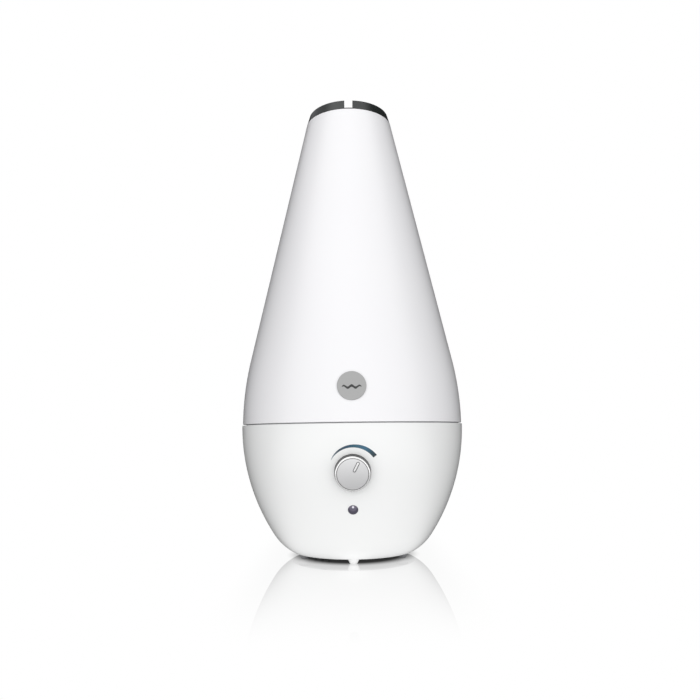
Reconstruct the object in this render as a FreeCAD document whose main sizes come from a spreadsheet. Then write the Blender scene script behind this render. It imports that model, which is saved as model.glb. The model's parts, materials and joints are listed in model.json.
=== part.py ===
import FreeCAD, Part
import math
import os
import re
import Sketcher

from FreeCAD import Placement, Rotation, Vector

# An ultrasonic cool mist humidifier: a bowl-shaped base that makes the mist, and a tall
# tapering tank that lifts off it, with a slotted nozzle cap on top.
# Millimetres. +Z is up, the knob faces -Y, and the origin is on the floor under the middle.

document = FreeCAD.newDocument("humidifier")
sheet = document.addObject("Spreadsheet::Sheet", "Dims")

DIMENSIONS = {
    # outer form: arcs that meet in tangents, from the underside to the neck
    "widest_radius": 100.0,
    "seam_height": 115.5,
    "seam_gap": 0.8,
    "bowl_radius": 174.5,
    "bowl_sweep": 33.7,
    "corner_radius": 43.9,
    "shell_wall": 2.5,
    "underside": 5.0,
    "tank_inset": 0.6,
    "tank_radius": 259.0,
    "tank_taper": 12.8,
    "tank_wall": 2.2,
    "neck_height": 402.9,
    "gap": 0.3,
    "slip": 0.1,
    "running": 0.05,
    "overrun": 1.0,
    "seal_ease": 0.5,
    "seal_overlap": 0.5,
    # base shell: shelf for the trough, ledge for the cover, bosses for its screws
    "shelf_height": 112.0,
    "shelf_thick": 2.5,
    "shelf_bore": 95.8,
    "ledge_bore": 46.5,
    "ledge_thick": 2.5,
    "boss_circle": 50.5,
    "boss_radius": 3.5,
    "boss_top": 18.0,
    # bottom cover, feet and screws
    "cover_radius": 54.0,
    "cover_thick": 2.5,
    "foot_circle": 48.5,
    "foot_top": 5.45,
    "foot_sole": 3.0,
    "foot_round": 0.6,
    "vent_width": 2.5,
    "vent_long": 40.0,
    "vent_pitch": 6.0,
    "vent_first": -40.0,
    "screw_radius": 1.5,
    "screw_head": 2.75,
    "screw_head_tall": 1.5,
    "screw_long": 10.0,
    "small_screw": 1.1,
    "small_head": 2.2,
    "cross_wide": 0.8,
    "recess_deep": 0.4,
    "recess_long": 1.2,
    # water trough
    "trough_wall": 2.0,
    "trough_floor": 2.2,
    "trough_deck": 92.0,
    "trough_foot_radius": 93.2,
    "trough_top_radius": 95.3,
    "trough_flange": 97.0,
    "trough_rim": 114.3,
    "trough_round": 6.0,
    "trough_ease": 0.4,
    "pilot_floor": 1.0,
    "well_bore": 22.0,
    "well_wall": 2.0,
    "well_floor": 80.0,
    "disc_window": 9.0,
    "riser_x": -34.0,
    "riser_radius": 7.5,
    "riser_bore": 5.5,
    "riser_top": 110.0,
    "riser_foot": 84.0,
    "filler_y": 66.5,
    "valve_post_radius": 3.0,
    "valve_post_top": 99.4,
    "float_x": 62.0,
    "float_y": -22.0,
    "float_post_radius": 4.0,
    "float_post_top": 108.5,
    "float_post_bore": 2.2,
    # mist maker
    "disc_radius": 10.0,
    "disc_thick": 1.2,
    "disc_seat": 75.8,
    "seal_radius": 12.0,
    "seal_bore": 8.0,
    "seal_lip": 1.0,
    "retainer_radius": 19.0,
    "retainer_thick": 1.5,
    "retainer_circle": 15.5,
    "retainer_boss": 2.8,
    # float
    "float_radius": 10.0,
    "float_tall": 8.0,
    "magnet_radius": 7.5,
    "magnet_tall": 3.0,
    "pocket_ease": 0.625,
    "clip_radius": 6.0,
    "clip_height": 107.2,
    "clip_thick": 0.9,
    "reed_radius": 1.8,
    "reed_tall": 13.0,
    # fan and duct
    "fan_x": -50.0,
    "fan_foot": 50.0,
    "fan_side": 50.0,
    "fan_tall": 15.0,
    "fan_bore": 23.5,
    "fan_screw_offset": 20.0,
    "fan_screw": 1.7,
    "hub_radius": 9.5,
    "hub_wall": 1.2,
    "hub_foot": 54.5,
    "hub_top": 64.0,
    "blade_tip": 22.3,
    "blade_chord": 11.0,
    "blade_thick": 1.2,
    "blade_pitch": 38.0,
    "axle_radius": 1.5,
    "axle_foot": 52.0,
    "bearing_radius": 3.2,
    "bearing_top": 61.0,
    "motor_plate": 8.0,
    "strut_wide": 2.5,
    "strut_tall": 2.0,
    "duct_flange": 3.0,
    "duct_mouth": 46.0,
    "duct_throat": 19.0,
    "duct_top": 80.0,
    "duct_wall": 2.0,
    # driver board
    "board_x": 12.0,
    "board_long": 60.0,
    "board_wide": 46.0,
    "board_thick": 1.6,
    "board_foot": 20.4,
    "board_bite": 6.0,
    "board_post": 3.0,
    "board_post_x": 26.0,
    "board_post_y": 19.0,
    "core_x": -4.0,
    "core_y": -7.0,
    "core_long": 20.0,
    "core_wide": 16.0,
    "core_tall": 14.0,
    "winding_long": 12.0,
    "winding_wide": 22.0,
    "winding_lift": 3.0,
    "can_x": 15.0,
    "can_y": -12.0,
    "can_radius": 5.0,
    "can_tall": 16.0,
    "terminal_y": 14.0,
    "terminal_long": 14.0,
    "terminal_wide": 8.0,
    "terminal_tall": 9.0,
    "sink_x": 25.0,
    "sink_y": 4.5,
    "sink_long": 22.0,
    "sink_tall": 22.0,
    "spine_thick": 3.0,
    "fin_thick": 1.2,
    "fin_deep": 7.0,
    "transistor_wide": 10.0,
    "transistor_thick": 4.5,
    "transistor_tall": 17.6,
    # knob, potentiometer and lamp, in frames that stand square on the wall
    "knob_height": 77.3,
    "knob_radius": 14.2,
    "knob_face": 12.6,
    "knob_proud": 6.3,
    "knob_lift": 0.6,
    "knob_bevel": 1.9,
    "knob_break_in": 0.75,
    "knob_break_down": 0.57,
    "knob_skin": 2.0,
    "knob_hub": 5.0,
    "shaft_radius": 3.0,
    "shaft_foot": -8.0,
    "bushing_radius": 3.5,
    "bushing_top": 2.0,
    "nut_across": 10.0,
    "nut_tall": 1.5,
    "pot_radius": 8.0,
    "pot_top": -3.1,
    "pot_deep": 8.0,
    "pointer_wide": 1.5,
    "pointer_near": 2.4,
    "pointer_far": 10.2,
    "pointer_deep": 0.7,
    "pointer_sunk": 0.15,
    "pointer_gap": 0.5,
    "pointer_turn": -26.5,
    "lens_height": 47.7,
    "lens_radius": 4.0,
    "lens_dome": 1.2,
    "lens_flange": 5.2,
    "lens_seat": -3.0,
    "lens_foot": -4.2,
    "lamp_radius": 2.5,
    "lamp_long": 5.0,
    "lamp_board_side": 14.0,
    # cord gland in the rear wall
    "gland_height": 42.0,
    "gland_bore": 3.6,
    "gland_radius": 6.9,
    "gland_flange": 9.5,
    "gland_proud": 2.4,
    "gland_foot": -8.0,
    "gland_ridge": 7.8,
    "gland_ridge_long": 1.5,
    "gland_chamfer": 1.0,
    # tank
    "floor_height": 121.0,
    "floor_thick": 2.2,
    "floor_radius": 96.9,
    "mist_bore": 15.0,
    "mist_wall": 2.0,
    "mist_top": 395.0,
    "socket_tall": 6.0,
    "skirt_bore": 43.0,
    "skirt_foot": 98.0,
    "guide_bore": 88.5,
    "guide_foot": 109.0,
    "bearing_bore": 94.2,
    "skirt_wall": 2.0,
    "filler_bore": 17.0,
    "filler_foot": 110.3,
    "neck_shelf": 388.7,
    "neck_shelf_bore": 34.0,
    "badge_height": 144.3,
    "badge_radius": 11.5,
    "badge_thick": 1.2,
    "badge_proud": 0.3,
    "badge_edge": 0.2,
    # filler cap and valve
    "cap_foot": 106.0,
    "cap_floor": 2.5,
    "cap_radius": 20.6,
    "cap_bore": 19.3,
    "cap_top": 120.6,
    "cap_edge": 1.0,
    "rib_radius": 0.8,
    "rib_sunk": 0.3,
    "drip_circle": 4.8,
    "drip_radius": 1.4,
    "stem_radius": 2.0,
    "stem_top": 116.0,
    "stem_foot_radius": 4.2,
    "stem_foot_thick": 1.2,
    "valve_radius": 7.5,
    "valve_height": 111.0,
    "valve_thick": 1.5,
    "valve_flange": 5.0,
    "spring_radius": 3.0,
    "spring_wire": 0.3,
    # nozzle
    "collar_radius": 38.0,
    "collar_wall": 2.0,
    "collar_foot": 390.0,
    "collar_top": 402.6,
    "collar_lip": 17.4,
    "collar_lip_top": 397.0,
    "nozzle_foot": 403.1,
    "nozzle_top": 412.6,
    "nozzle_crown": 413.0,
    "nozzle_foot_radius": 40.65,
    "nozzle_top_radius": 38.15,
    "nozzle_round": 1.4,
    "nozzle_wall": 2.4,
    "nozzle_bore": 35.0,
    "spigot_radius": 35.7,
    "spigot_foot": 398.0,
    "channel_wide": 7.5,
    "channel_floor": 403.9,
    "outlet_wide": 4.8,
    "outlet_long": 24.0,
}

COVER_SCREW_ANGLES = (0, 120, 240)
FEET = 6
FIRST_FOOT_ANGLE = -90
VENTS = 4
RETAINER_SCREWS = 3
BLADES = 7
STRUTS = 3
FINS = 5
DRIP_HOLES = 6
GRIP_RIBS = 24
SPRING_TURNS = 4
SPRING_SPANS = 14
WIRE_SIDES = 8

for row, (name, size) in enumerate(DIMENSIONS.items(), start=1):
    sheet.set(f"A{row}", name)
    sheet.set(f"B{row}", str(size))
    sheet.setAlias(f"B{row}", name)
document.recompute()

NODES = {}

# how a sketch numbers an arc's centre and its own two axes
CENTRE_POINT = 3
OWN_ACROSS_AXIS = -1
OWN_UP_AXIS = -2


# ---- helpers -------------------------------------------------------------------------------

def bound(text):
    """A formula in dimension names becomes an expression on the sheet."""
    def cell(match):
        word = match.group(0)
        return f"Dims.{word}" if word in DIMENSIONS else word
    return re.sub(r"[a-z_][a-z_0-9]*", cell, str(text))


def value(text):
    """What a formula comes to."""
    result = sheet.evalExpression(bound(text))
    return float(getattr(result, "Value", result))


def place(piece, at=("0", "0", "0"), axis=Vector(0, 0, 1), turn="0"):
    """Puts a piece at a point given by formulas, turned about an axis."""
    piece.Placement = Placement(Vector(), Rotation(axis, value(turn)))
    for direction, formula in zip("xyz", at):
        if formula != "0":
            piece.setExpression(f".Placement.Base.{direction}", bound(formula))
    if turn != "0":
        piece.setExpression(".Placement.Rotation.Angle", bound(turn))
    return piece


def solid(kind, at=("0", "0", "0"), axis=Vector(0, 0, 1), turn="0", **sizes):
    """A Part primitive, such as a Cylinder, with its sizes and its place bound to the sheet."""
    piece = document.addObject("Part::" + kind, kind)
    for size_name, formula in sizes.items():
        piece.setExpression(size_name, bound(formula))
    return place(piece, at, axis, turn)


def rod(radius, foot, top, x="0", y="0"):
    """An upright cylinder between two heights."""
    return solid("Cylinder", at=(x, y, foot), Radius=radius, Height=f"({top}) - ({foot})")


def block(long, wide, foot, top, x="0", y="0"):
    """An upright box about a centre line."""
    corner = (f"{x} - ({long}) / 2", f"{y} - ({wide}) / 2", foot)
    return solid("Box", at=corner, Length=long, Width=wide, Height=f"({top}) - ({foot})")


def joined(base, *others):
    """Several solids that are one piece."""
    whole = document.addObject("Part::MultiFuse", "Joined")
    whole.Shapes = [base, *others]
    return whole


def less(base, *tools):
    """A solid with the tools cut out of it."""
    cut = document.addObject("Part::Cut", "Less")
    cut.Base = base
    cut.Tool = tools[0] if len(tools) == 1 else group(*tools)
    return cut


def group(*pieces):
    """Separate solids kept together."""
    compound = document.addObject("Part::Compound", "Group")
    compound.Links = list(pieces)
    return compound


def node(label, piece):
    """Names a finished sub-part; its label is its file's name."""
    piece.Label = label
    NODES[label] = piece
    return piece


def origin_plane(body, role):
    """One of a body's own origin planes."""
    return next(plane for plane in body.Origin.OriginFeatures if plane.Role == role)


def pin(sketch, stretch, point, direction, formula):
    """Holds one coordinate of a sketched point at a formula's value."""
    if abs(value(formula)) < 1e-9:
        axis = OWN_UP_AXIS if direction == "DistanceX" else OWN_ACROSS_AXIS
        sketch.addConstraint(Sketcher.Constraint("PointOnObject", stretch, point, axis))
        return
    rule = Sketcher.Constraint(direction, -1, 1, stretch, point, value(formula))
    index = sketch.addConstraint(rule)
    sketch.setExpression(f"Constraints[{index}]", bound(formula))


def outline(body, plane, points, arcs):
    """A closed sketch through points given by formulas.

    arcs says which stretches bend: it maps a stretch's first point to its centre and radius.
    A half circle bulges to the right of its direction, so its outline runs anticlockwise.
    """
    sketch = body.newObject("Sketcher::SketchObject", "Outline")
    sketch.AttachmentSupport = (origin_plane(body, plane), [""])
    sketch.MapMode = "FlatFace"
    corners = [Vector(value(across), value(up), 0) for across, up in points]
    ends = []
    for number, corner in enumerate(corners):
        following = corners[(number + 1) % len(corners)]
        if number in arcs:
            across, up, radius = arcs[number]
            centre = Vector(value(across), value(up), 0)
            outward = (corner + following) * 0.5 - centre
            if outward.Length < 1e-6:
                chord = following - corner
                outward = Vector(chord.y, -chord.x, 0)
            crest = centre + outward.normalize() * value(radius)
            sketch.addGeometry(Part.Arc(corner, crest, following), False)
        else:
            sketch.addGeometry(Part.LineSegment(corner, following), False)
        starts_here = sketch.getPoint(number, 1).distanceToPoint(corner) < 1e-6
        ends.append((1, 2) if starts_here else (2, 1))
    for number, (across, up) in enumerate(points):
        following = (number + 1) % len(points)
        first, last = ends[number]
        join = ("Coincident", number, last, following, ends[following][0])
        sketch.addConstraint(Sketcher.Constraint(*join))
        pin(sketch, number, first, "DistanceX", across)
        pin(sketch, number, first, "DistanceY", up)
        if number in arcs:
            chord = corners[following] - corners[number]
            if abs(chord.x) > abs(chord.y):
                pin(sketch, number, CENTRE_POINT, "DistanceY", arcs[number][1])
            else:
                pin(sketch, number, CENTRE_POINT, "DistanceX", arcs[number][0])
    return sketch


def turned(points, arcs=None, at=("0", "0", "0"), axis=Vector(0, 0, 1), turn="0"):
    """A body turned on a lathe: its half outline, in radius and height, goes once round +Z."""
    body = document.addObject("PartDesign::Body", "Turned")
    sketch = outline(body, "XZ_Plane", points, arcs or {})
    lathe = body.newObject("PartDesign::Revolution", "Lathe")
    lathe.Profile = sketch
    lathe.ReferenceAxis = (sketch, ["V_Axis"])
    lathe.Angle = 360
    return place(body, at, axis, turn)


def extruded(points, thick, arcs=None, at=("0", "0", "0"), axis=Vector(0, 0, 1), turn="0"):
    """A body cut from sheet: its outline in plan, padded upward."""
    body = document.addObject("PartDesign::Body", "Extruded")
    sketch = outline(body, "XY_Plane", points, arcs or {})
    pad = body.newObject("PartDesign::Pad", "Pad")
    pad.Profile = sketch
    pad.setExpression("Length", bound(thick))
    return place(body, at, axis, turn)


def ring(bore, radius, foot, top, x="0", y="0"):
    """A plain turned ring."""
    return turned([(bore, foot), (radius, foot), (radius, top), (bore, top)], at=(x, y, "0"))


def round_the_circle(count, radius, first_angle=0, x="0", y="0"):
    """Formulas of the places of things that stand evenly on a circle."""
    angles = [first_angle + 360 * number / count for number in range(count)]
    return [(f"{x} + {radius} * cos({angle})", f"{y} + {radius} * sin({angle})")
            for angle in angles]


def screw(shank, head, head_foot, head_top, shank_end, x, y):
    """A cross-head screw whose shank leaves the head's inner face."""
    body_of_screw = joined(rod(head, head_foot, head_top, x, y),
                           rod(shank, f"min({head_top}; {shank_end})",
                               f"max({head_foot}; {shank_end})", x, y))
    heads_up = value(shank_end) < value(head_foot)
    recess_foot = f"{head_top} - {head} * recess_deep" if heads_up else f"{head_foot} - overrun"
    recess_top = f"{head_top} + overrun" if heads_up else f"{head_foot} + {head} * recess_deep"
    cross = [block(long, wide, recess_foot, recess_top, x, y)
             for long, wide in ((f"{head} * recess_long", "cross_wide"), ("cross_wide", f"{head} * recess_long"))]
    return less(body_of_screw, joined(*cross))


# ---- the outer form, as formulas ----------------------------------------------------------------

BASE_RIM = "(seam_height - seam_gap / 2)"
TANK_RIM = "(seam_height + seam_gap / 2)"
BOWL_CENTRE = "(widest_radius - bowl_radius)"
CORNER_X = f"({BOWL_CENTRE} + (bowl_radius - corner_radius) * cos(bowl_sweep))"
CORNER_Z = "(seam_height - (bowl_radius - corner_radius) * sin(bowl_sweep))"
TANK_CENTRE = "(widest_radius - tank_inset - tank_radius)"
TANK_BEND = f"({TANK_CENTRE} + tank_radius * cos(tank_taper))"
TANK_BEND_HEIGHT = "(seam_height + tank_radius * sin(tank_taper))"
NECK_RADIUS = f"({TANK_BEND} - (neck_height - {TANK_BEND_HEIGHT}) * tan(tank_taper))"


def bowl(height, inset="0"):
    """The bowl's radius at a height, or that of a surface inset from it."""
    return (f"({BOWL_CENTRE} + sqrt((bowl_radius - {inset})^2"
            f" - (seam_height - {height})^2))")


def corner(height, inset="0"):
    """The same on the rounded corner between the bowl and the underside."""
    return (f"({CORNER_X} + sqrt((corner_radius - {inset})^2"
            f" - ({CORNER_Z} - {height})^2))")


def tank(height, inset="0"):
    """The tank's radius at a height on its lower, curved part."""
    return (f"({TANK_CENTRE} + sqrt((tank_radius - {inset})^2"
            f" - ({height} - seam_height)^2))")


def cone(height, inset="0"):
    """The tank's radius at a height on its straight upper part."""
    return (f"({NECK_RADIUS} + (neck_height - {height}) * tan(tank_taper)"
            f" - {inset} / cos(tank_taper))")


def wall_tilt(height):
    """How far the bowl's wall leans, at a height, from upright."""
    return f"asin((seam_height - {height}) / bowl_radius)"


def on_wall(height, side, out="0"):
    """Place and turn of a frame whose +Z leaves the bowl squarely; side -1 is the front."""
    tilt = wall_tilt(height)
    return {
        "at": ("0",
               f"{side} * ({bowl(height)} + ({out}) * cos({tilt}))",
               f"{height} - ({out}) * sin({tilt})"),
        "axis": Vector(1, 0, 0),
        "turn": f"90 deg + {tilt}" if side < 0 else f"-90 deg - {tilt}",
    }


def wall_rod(radius, foot, top, height, side):
    """A cylinder along such a frame's +Z."""
    return solid("Cylinder", **on_wall(height, side, foot), Radius=radius,
                 Height=f"({top}) - ({foot})")


KNOB_WALL = on_wall("knob_height", -1)
LENS_WALL = on_wall("lens_height", -1)
GLAND_WALL = on_wall("gland_height", 1)


# ---- base: shell, cover and feet ---------------------------------------------------------------

def base_shell():
    """The white bowl, with a shelf for the trough and a ledge for the cover."""
    ledge_foot = "(underside + cover_thick)"
    ledge_top = f"({ledge_foot} + ledge_thick)"
    shelf_foot = "(shelf_height - shelf_thick)"
    bend = "cos(bowl_sweep)"
    drop = "sin(bowl_sweep)"
    skin = [
        (corner("underside"), "underside"),
        (f"{BOWL_CENTRE} + bowl_radius * {bend}", f"seam_height - bowl_radius * {drop}"),
        (bowl(BASE_RIM), BASE_RIM),
        (bowl(BASE_RIM, "shell_wall"), BASE_RIM),
        (bowl("shelf_height", "shell_wall"), "shelf_height"),
        ("shelf_bore", "shelf_height"),
        ("shelf_bore", shelf_foot),
        (bowl(shelf_foot, "shell_wall"), shelf_foot),
        (f"{BOWL_CENTRE} + (bowl_radius - shell_wall) * {bend}",
         f"seam_height - (bowl_radius - shell_wall) * {drop}"),
        (corner(ledge_top, "shell_wall"), ledge_top),
        ("ledge_bore", ledge_top),
        ("ledge_bore", ledge_foot),
        ("cover_radius + gap", ledge_foot),
        ("cover_radius + gap", "underside"),
    ]
    outer_bowl = (BOWL_CENTRE, "seam_height", "bowl_radius")
    inner_bowl = (BOWL_CENTRE, "seam_height", "bowl_radius - shell_wall")
    arcs = {
        0: (CORNER_X, CORNER_Z, "corner_radius"),
        1: outer_bowl,
        3: inner_bowl,
        7: inner_bowl,
        8: (CORNER_X, CORNER_Z, "corner_radius - shell_wall"),
    }
    places = [(f"boss_circle * cos({angle})", f"boss_circle * sin({angle})")
              for angle in COVER_SCREW_ANGLES]
    bosses = [rod("boss_radius", ledge_foot, "boss_top", x, y) for x, y in places]
    pilots = [rod("screw_radius + running", "underside", "boss_top - overrun", x, y)
              for x, y in places]
    inside = "-4 * shell_wall"
    holes = [
        wall_rod("bushing_radius + slip", inside, "shell_wall", "knob_height", -1),
        wall_rod("lens_radius + running", inside, "shell_wall", "lens_height", -1),
        wall_rod("gland_radius + slip", inside, "shell_wall", "gland_height", 1),
    ]
    node("base_shell", less(joined(turned(skin, arcs), *bosses), *pilots, *holes))


def bottom_cover():
    """The disc that closes the bowl, with air vents, posts for the board and screw holes."""
    cover_top = "(underside + cover_thick)"
    disc = rod("cover_radius", "underside", cover_top)
    posts = [rod("board_post", cover_top, "board_foot", x, y) for x, y in board_corners()]
    pilots = [rod("small_screw + running", cover_top, "board_foot", x, y)
              for x, y in board_corners()]
    holes = []
    for angle in COVER_SCREW_ANGLES:
        x = f"boss_circle * cos({angle})"
        y = f"boss_circle * sin({angle})"
        holes.append(rod("screw_radius + slip", "underside - overrun", f"{cover_top} + overrun", x, y))
        holes.append(rod("screw_head + slip", "underside - overrun",
                         "underside + screw_head_tall + slip", x, y))
    for number in range(VENTS):
        x = f"(vent_first + {number} * vent_pitch)"
        holes.append(block("vent_width", "vent_long", "underside - overrun", f"{cover_top} + overrun", x))
    node("bottom_cover", less(joined(disc, *posts), *pilots, *holes))

    heads = "(underside + slip)"
    shoulders = f"({heads} + screw_head_tall)"
    screws = [screw("screw_radius", "screw_head", heads, shoulders,
                    f"{shoulders} + screw_long",
                    f"boss_circle * cos({angle})", f"boss_circle * sin({angle})")
              for angle in COVER_SCREW_ANGLES]
    node("cover_screws", group(*screws))


def feet():
    """Six tapered feet; the first one stands at the front."""
    lean = "atan((foot_top - foot_sole) / underside)"
    touch = "(foot_sole - foot_round / 2)"
    half = [
        ("0", "0"),
        (touch, "0"),
        (f"foot_sole + foot_round * sin({lean})", "foot_round"),
        ("foot_top", "underside"),
        ("0", "underside"),
    ]
    for number, (x, y) in enumerate(round_the_circle(FEET, "foot_circle", FIRST_FOOT_ANGLE)):
        node(f"foot_{number + 1}", turned(half, at=(x, y, "0")))


# ---- base: water trough and mist maker ----------------------------------------------------------

def water_trough():
    """The basin under the tank: a well for the mist maker, an air riser and two posts."""
    deck_foot = "(trough_deck - trough_floor)"
    well_foot = "(well_floor - trough_floor)"
    well_radius = "(well_bore + well_wall)"
    inner_foot = "(trough_foot_radius - trough_wall)"
    inner_rim = "(trough_top_radius - trough_wall)"
    basin = turned([
        ("disc_window", well_foot),
        (well_radius, well_foot),
        (well_radius, deck_foot),
        ("trough_foot_radius", deck_foot),
        ("trough_top_radius", "shelf_height"),
        ("trough_flange", "shelf_height"),
        ("trough_flange", "trough_rim"),
        (inner_rim, "trough_rim"),
        (f"{inner_foot} + trough_ease", "trough_deck + trough_round"),
        (f"{inner_foot} - trough_round", "trough_deck"),
        ("well_bore", "trough_deck"),
        ("well_bore", "well_floor"),
        ("disc_window", "well_floor"),
    ])
    riser = rod("riser_radius", "riser_foot", "riser_top", "riser_x")
    valve_post = rod("valve_post_radius", deck_foot, "valve_post_top", "0", "filler_y")
    float_post = rod("float_post_radius", deck_foot, "float_post_top", "float_x", "float_y")
    places = round_the_circle(RETAINER_SCREWS, "retainer_circle")
    lug_foot = "(disc_seat - seal_lip)"
    lugs = [rod("retainer_boss", lug_foot, well_foot, x, y) for x, y in places]
    pilots = [rod("small_screw + running", lug_foot, "well_floor - pilot_floor", x, y) for x, y in places]
    riser_hole = rod("riser_bore", "riser_foot - overrun", "riser_top + overrun", "riser_x")
    reed_hole = rod("float_post_bore", f"{deck_foot} - overrun", "trough_deck + reed_tall",
                    "float_x", "float_y")
    whole = joined(basin, riser, valve_post, float_post, *lugs)
    node("water_trough", less(whole, riser_hole, reed_hole, *pilots))


def mist_maker():
    """The vibrating disc in its rubber seal, held up against the well by a ring."""
    disc_top = "(disc_seat + disc_thick)"
    seal_foot = "(disc_seat - seal_lip)"
    well_foot = "(well_floor - trough_floor)"
    node("transducer", rod("disc_radius", "disc_seat", disc_top))
    node("transducer_seal", turned([
        ("seal_bore", seal_foot),
        ("seal_radius", seal_foot),
        ("seal_radius", well_foot),
        ("seal_bore", well_foot),
        ("seal_bore", disc_top),
        ("disc_radius", disc_top),
        ("disc_radius", "disc_seat"),
        ("seal_bore", "disc_seat"),
    ]))
    retainer_foot = f"({seal_foot} - retainer_thick)"
    places = round_the_circle(RETAINER_SCREWS, "retainer_circle")
    plate = ring("seal_bore", "retainer_radius", retainer_foot, seal_foot)
    holes = [rod("small_screw + running", f"{retainer_foot} - overrun", f"{seal_foot} + overrun", x, y)
             for x, y in places]
    node("transducer_retainer", less(plate, *holes))
    screws = [screw("small_screw", "small_head", f"{retainer_foot} - retainer_thick",
                    retainer_foot, "well_floor - pilot_floor - seal_ease", x, y) for x, y in places]
    node("retainer_screws", group(*screws))


def float_switch():
    """A float ring on its post, its magnet, the clip above it and the switch in the post."""
    foot = "(trough_deck + gap)"
    bore = "(float_post_radius + gap)"
    at = ("float_x", "float_y", "0")
    pocket = "(magnet_tall + gap)"
    pocket_bore = f"({bore} + pocket_ease)"
    node("float_ring", turned([
        (bore, foot),
        (pocket_bore, foot),
        (pocket_bore, f"{foot} + {pocket}"),
        ("magnet_radius + slip", f"{foot} + {pocket}"),
        ("magnet_radius + slip", foot),
        ("float_radius", foot),
        ("float_radius", f"{foot} + float_tall"),
        (bore, f"{foot} + float_tall"),
    ], at=at))
    node("float_magnet", ring(f"{pocket_bore} + slip", "magnet_radius", f"{foot} + slip",
                              f"{foot} + slip + magnet_tall", "float_x", "float_y"))
    node("float_clip", ring("float_post_radius", "clip_radius", "clip_height",
                            "clip_height + clip_thick", "float_x", "float_y"))
    node("reed_switch", rod("reed_radius", "trough_deck - trough_floor", "trough_deck + reed_tall - overrun",
                            "float_x", "float_y"))


# ---- base: fan ---------------------------------------------------------------------------------

def fan_corners():
    """The places of the fan's four screws."""
    return [(f"fan_x + {i} * fan_screw_offset", f"{k} * fan_screw_offset")
            for i in (-1, 1) for k in (-1, 1)]


def fan_body():
    """A square fan housing with a motor on three struts."""
    top = "(fan_foot + fan_tall)"
    frame = block("fan_side", "fan_side", "fan_foot", top, "fan_x")
    holes = [rod("fan_screw + slip", "fan_foot - overrun", f"{top} + overrun", x, y)
             for x, y in fan_corners()]
    bore = rod("fan_bore", "fan_foot - overrun", f"{top} + overrun", "fan_x")
    node("fan_housing", less(frame, bore, *holes))

    plate = rod("motor_plate", "fan_foot", "fan_foot + strut_tall", "fan_x")
    bearing = rod("bearing_radius", "fan_foot", "bearing_top", "fan_x")
    struts = [solid("Box", at=("fan_x", "0", "fan_foot"), turn=f"{360 * number / STRUTS} deg",
                    Length="sqrt(fan_bore^2 - strut_wide^2)", Width="strut_wide",
                    Height="strut_tall")
              for number in range(STRUTS)]
    shaft_hole = rod("axle_radius + running", "axle_foot", "bearing_top + overrun", "fan_x")
    node("fan_stator", less(joined(plate, bearing, *struts), shaft_hole))


def impeller():
    """Seven pitched blades on a cup that turns over the motor."""
    cup = rod("hub_radius", "hub_foot", "hub_top", "fan_x")
    inside = rod("hub_radius - hub_wall", "hub_foot - overrun", "hub_top - hub_wall", "fan_x")
    mid_height = (value("hub_foot") + value("hub_top")) / 2
    blades = []
    for number in range(BLADES):
        blade = solid("Box", Length="blade_tip - hub_radius + hub_wall / 2", Width="blade_chord",
                      Height="blade_thick")
        spoke = Rotation(Vector(0, 0, 1), 360 * number / BLADES)
        pitched = spoke * Rotation(Vector(1, 0, 0), value("blade_pitch"))
        root = Vector(value("hub_radius - hub_wall / 2"), 0, 0)
        half = Vector(0, value("blade_chord") / 2, value("blade_thick") / 2)
        centre = Vector(value("fan_x"), 0, mid_height)
        blade.Placement = Placement(centre + spoke * root - pitched * half, pitched)
        blades.append(blade)
    shaft_hole = rod("axle_radius", "hub_foot", "hub_top + overrun", "fan_x")
    node("impeller", less(joined(less(cup, inside), *blades), shaft_hole))
    node("fan_axle", rod("axle_radius", "axle_foot + gap", "hub_top", "fan_x"))


def air_duct():
    """The funnel that leads the fan's air up to the trough's riser."""
    foot = "(fan_foot + fan_tall)"
    cone_foot = f"({foot} + duct_flange)"
    pipe_top = "(trough_deck - trough_floor - slip)"
    flange = block("fan_side", "fan_side", foot, cone_foot, "fan_x")
    outside = square_funnel("duct_mouth", "duct_throat", cone_foot, "duct_top")
    inside = square_funnel("(duct_mouth - 2 * duct_wall)", "(duct_throat - 2 * duct_wall)",
                           cone_foot, "duct_top")
    mouth = rod("duct_mouth / 2 - duct_wall", f"{foot} - overrun", cone_foot, "fan_x")
    pipe = rod("duct_throat / 2", "duct_top", pipe_top, "riser_x")
    pipe_bore = rod("riser_radius + slip", "duct_top", f"{pipe_top} + overrun", "riser_x")
    holes = [rod("fan_screw + running", f"{foot} - overrun", f"{cone_foot} - slip", x, y)
             for x, y in fan_corners()]
    whole = joined(flange, outside, pipe)
    node("air_duct", less(whole, inside, mouth, pipe_bore, *holes))
    head_foot = "(fan_foot - screw_head_tall)"
    screws = [screw("fan_screw", "screw_head", head_foot, "fan_foot", f"{cone_foot} - overrun", x, y)
              for x, y in fan_corners()]
    node("fan_screws", group(*screws))


def square_funnel(mouth, throat, foot, top):
    """A funnel from a square over the fan to a square under the riser."""
    sections = []
    for side, height, x in ((mouth, foot, "fan_x"), (throat, top, "riser_x")):
        square = document.addObject("Part::Plane", "Section")
        square.setExpression("Length", bound(side))
        square.setExpression("Width", bound(side))
        sections.append(place(square, (f"{x} - {side} / 2", f"-{side} / 2", height)))
    loft = document.addObject("Part::Loft", "Funnel")
    loft.Sections = sections
    loft.Solid = True
    loft.Ruled = True
    return loft


# ---- base: driver board -------------------------------------------------------------------------

def board_corners():
    """The places of the board's four posts."""
    return [(f"board_x + {i} * board_post_x", f"{k} * board_post_y")
            for i in (-1, 1) for k in (-1, 1)]


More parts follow.
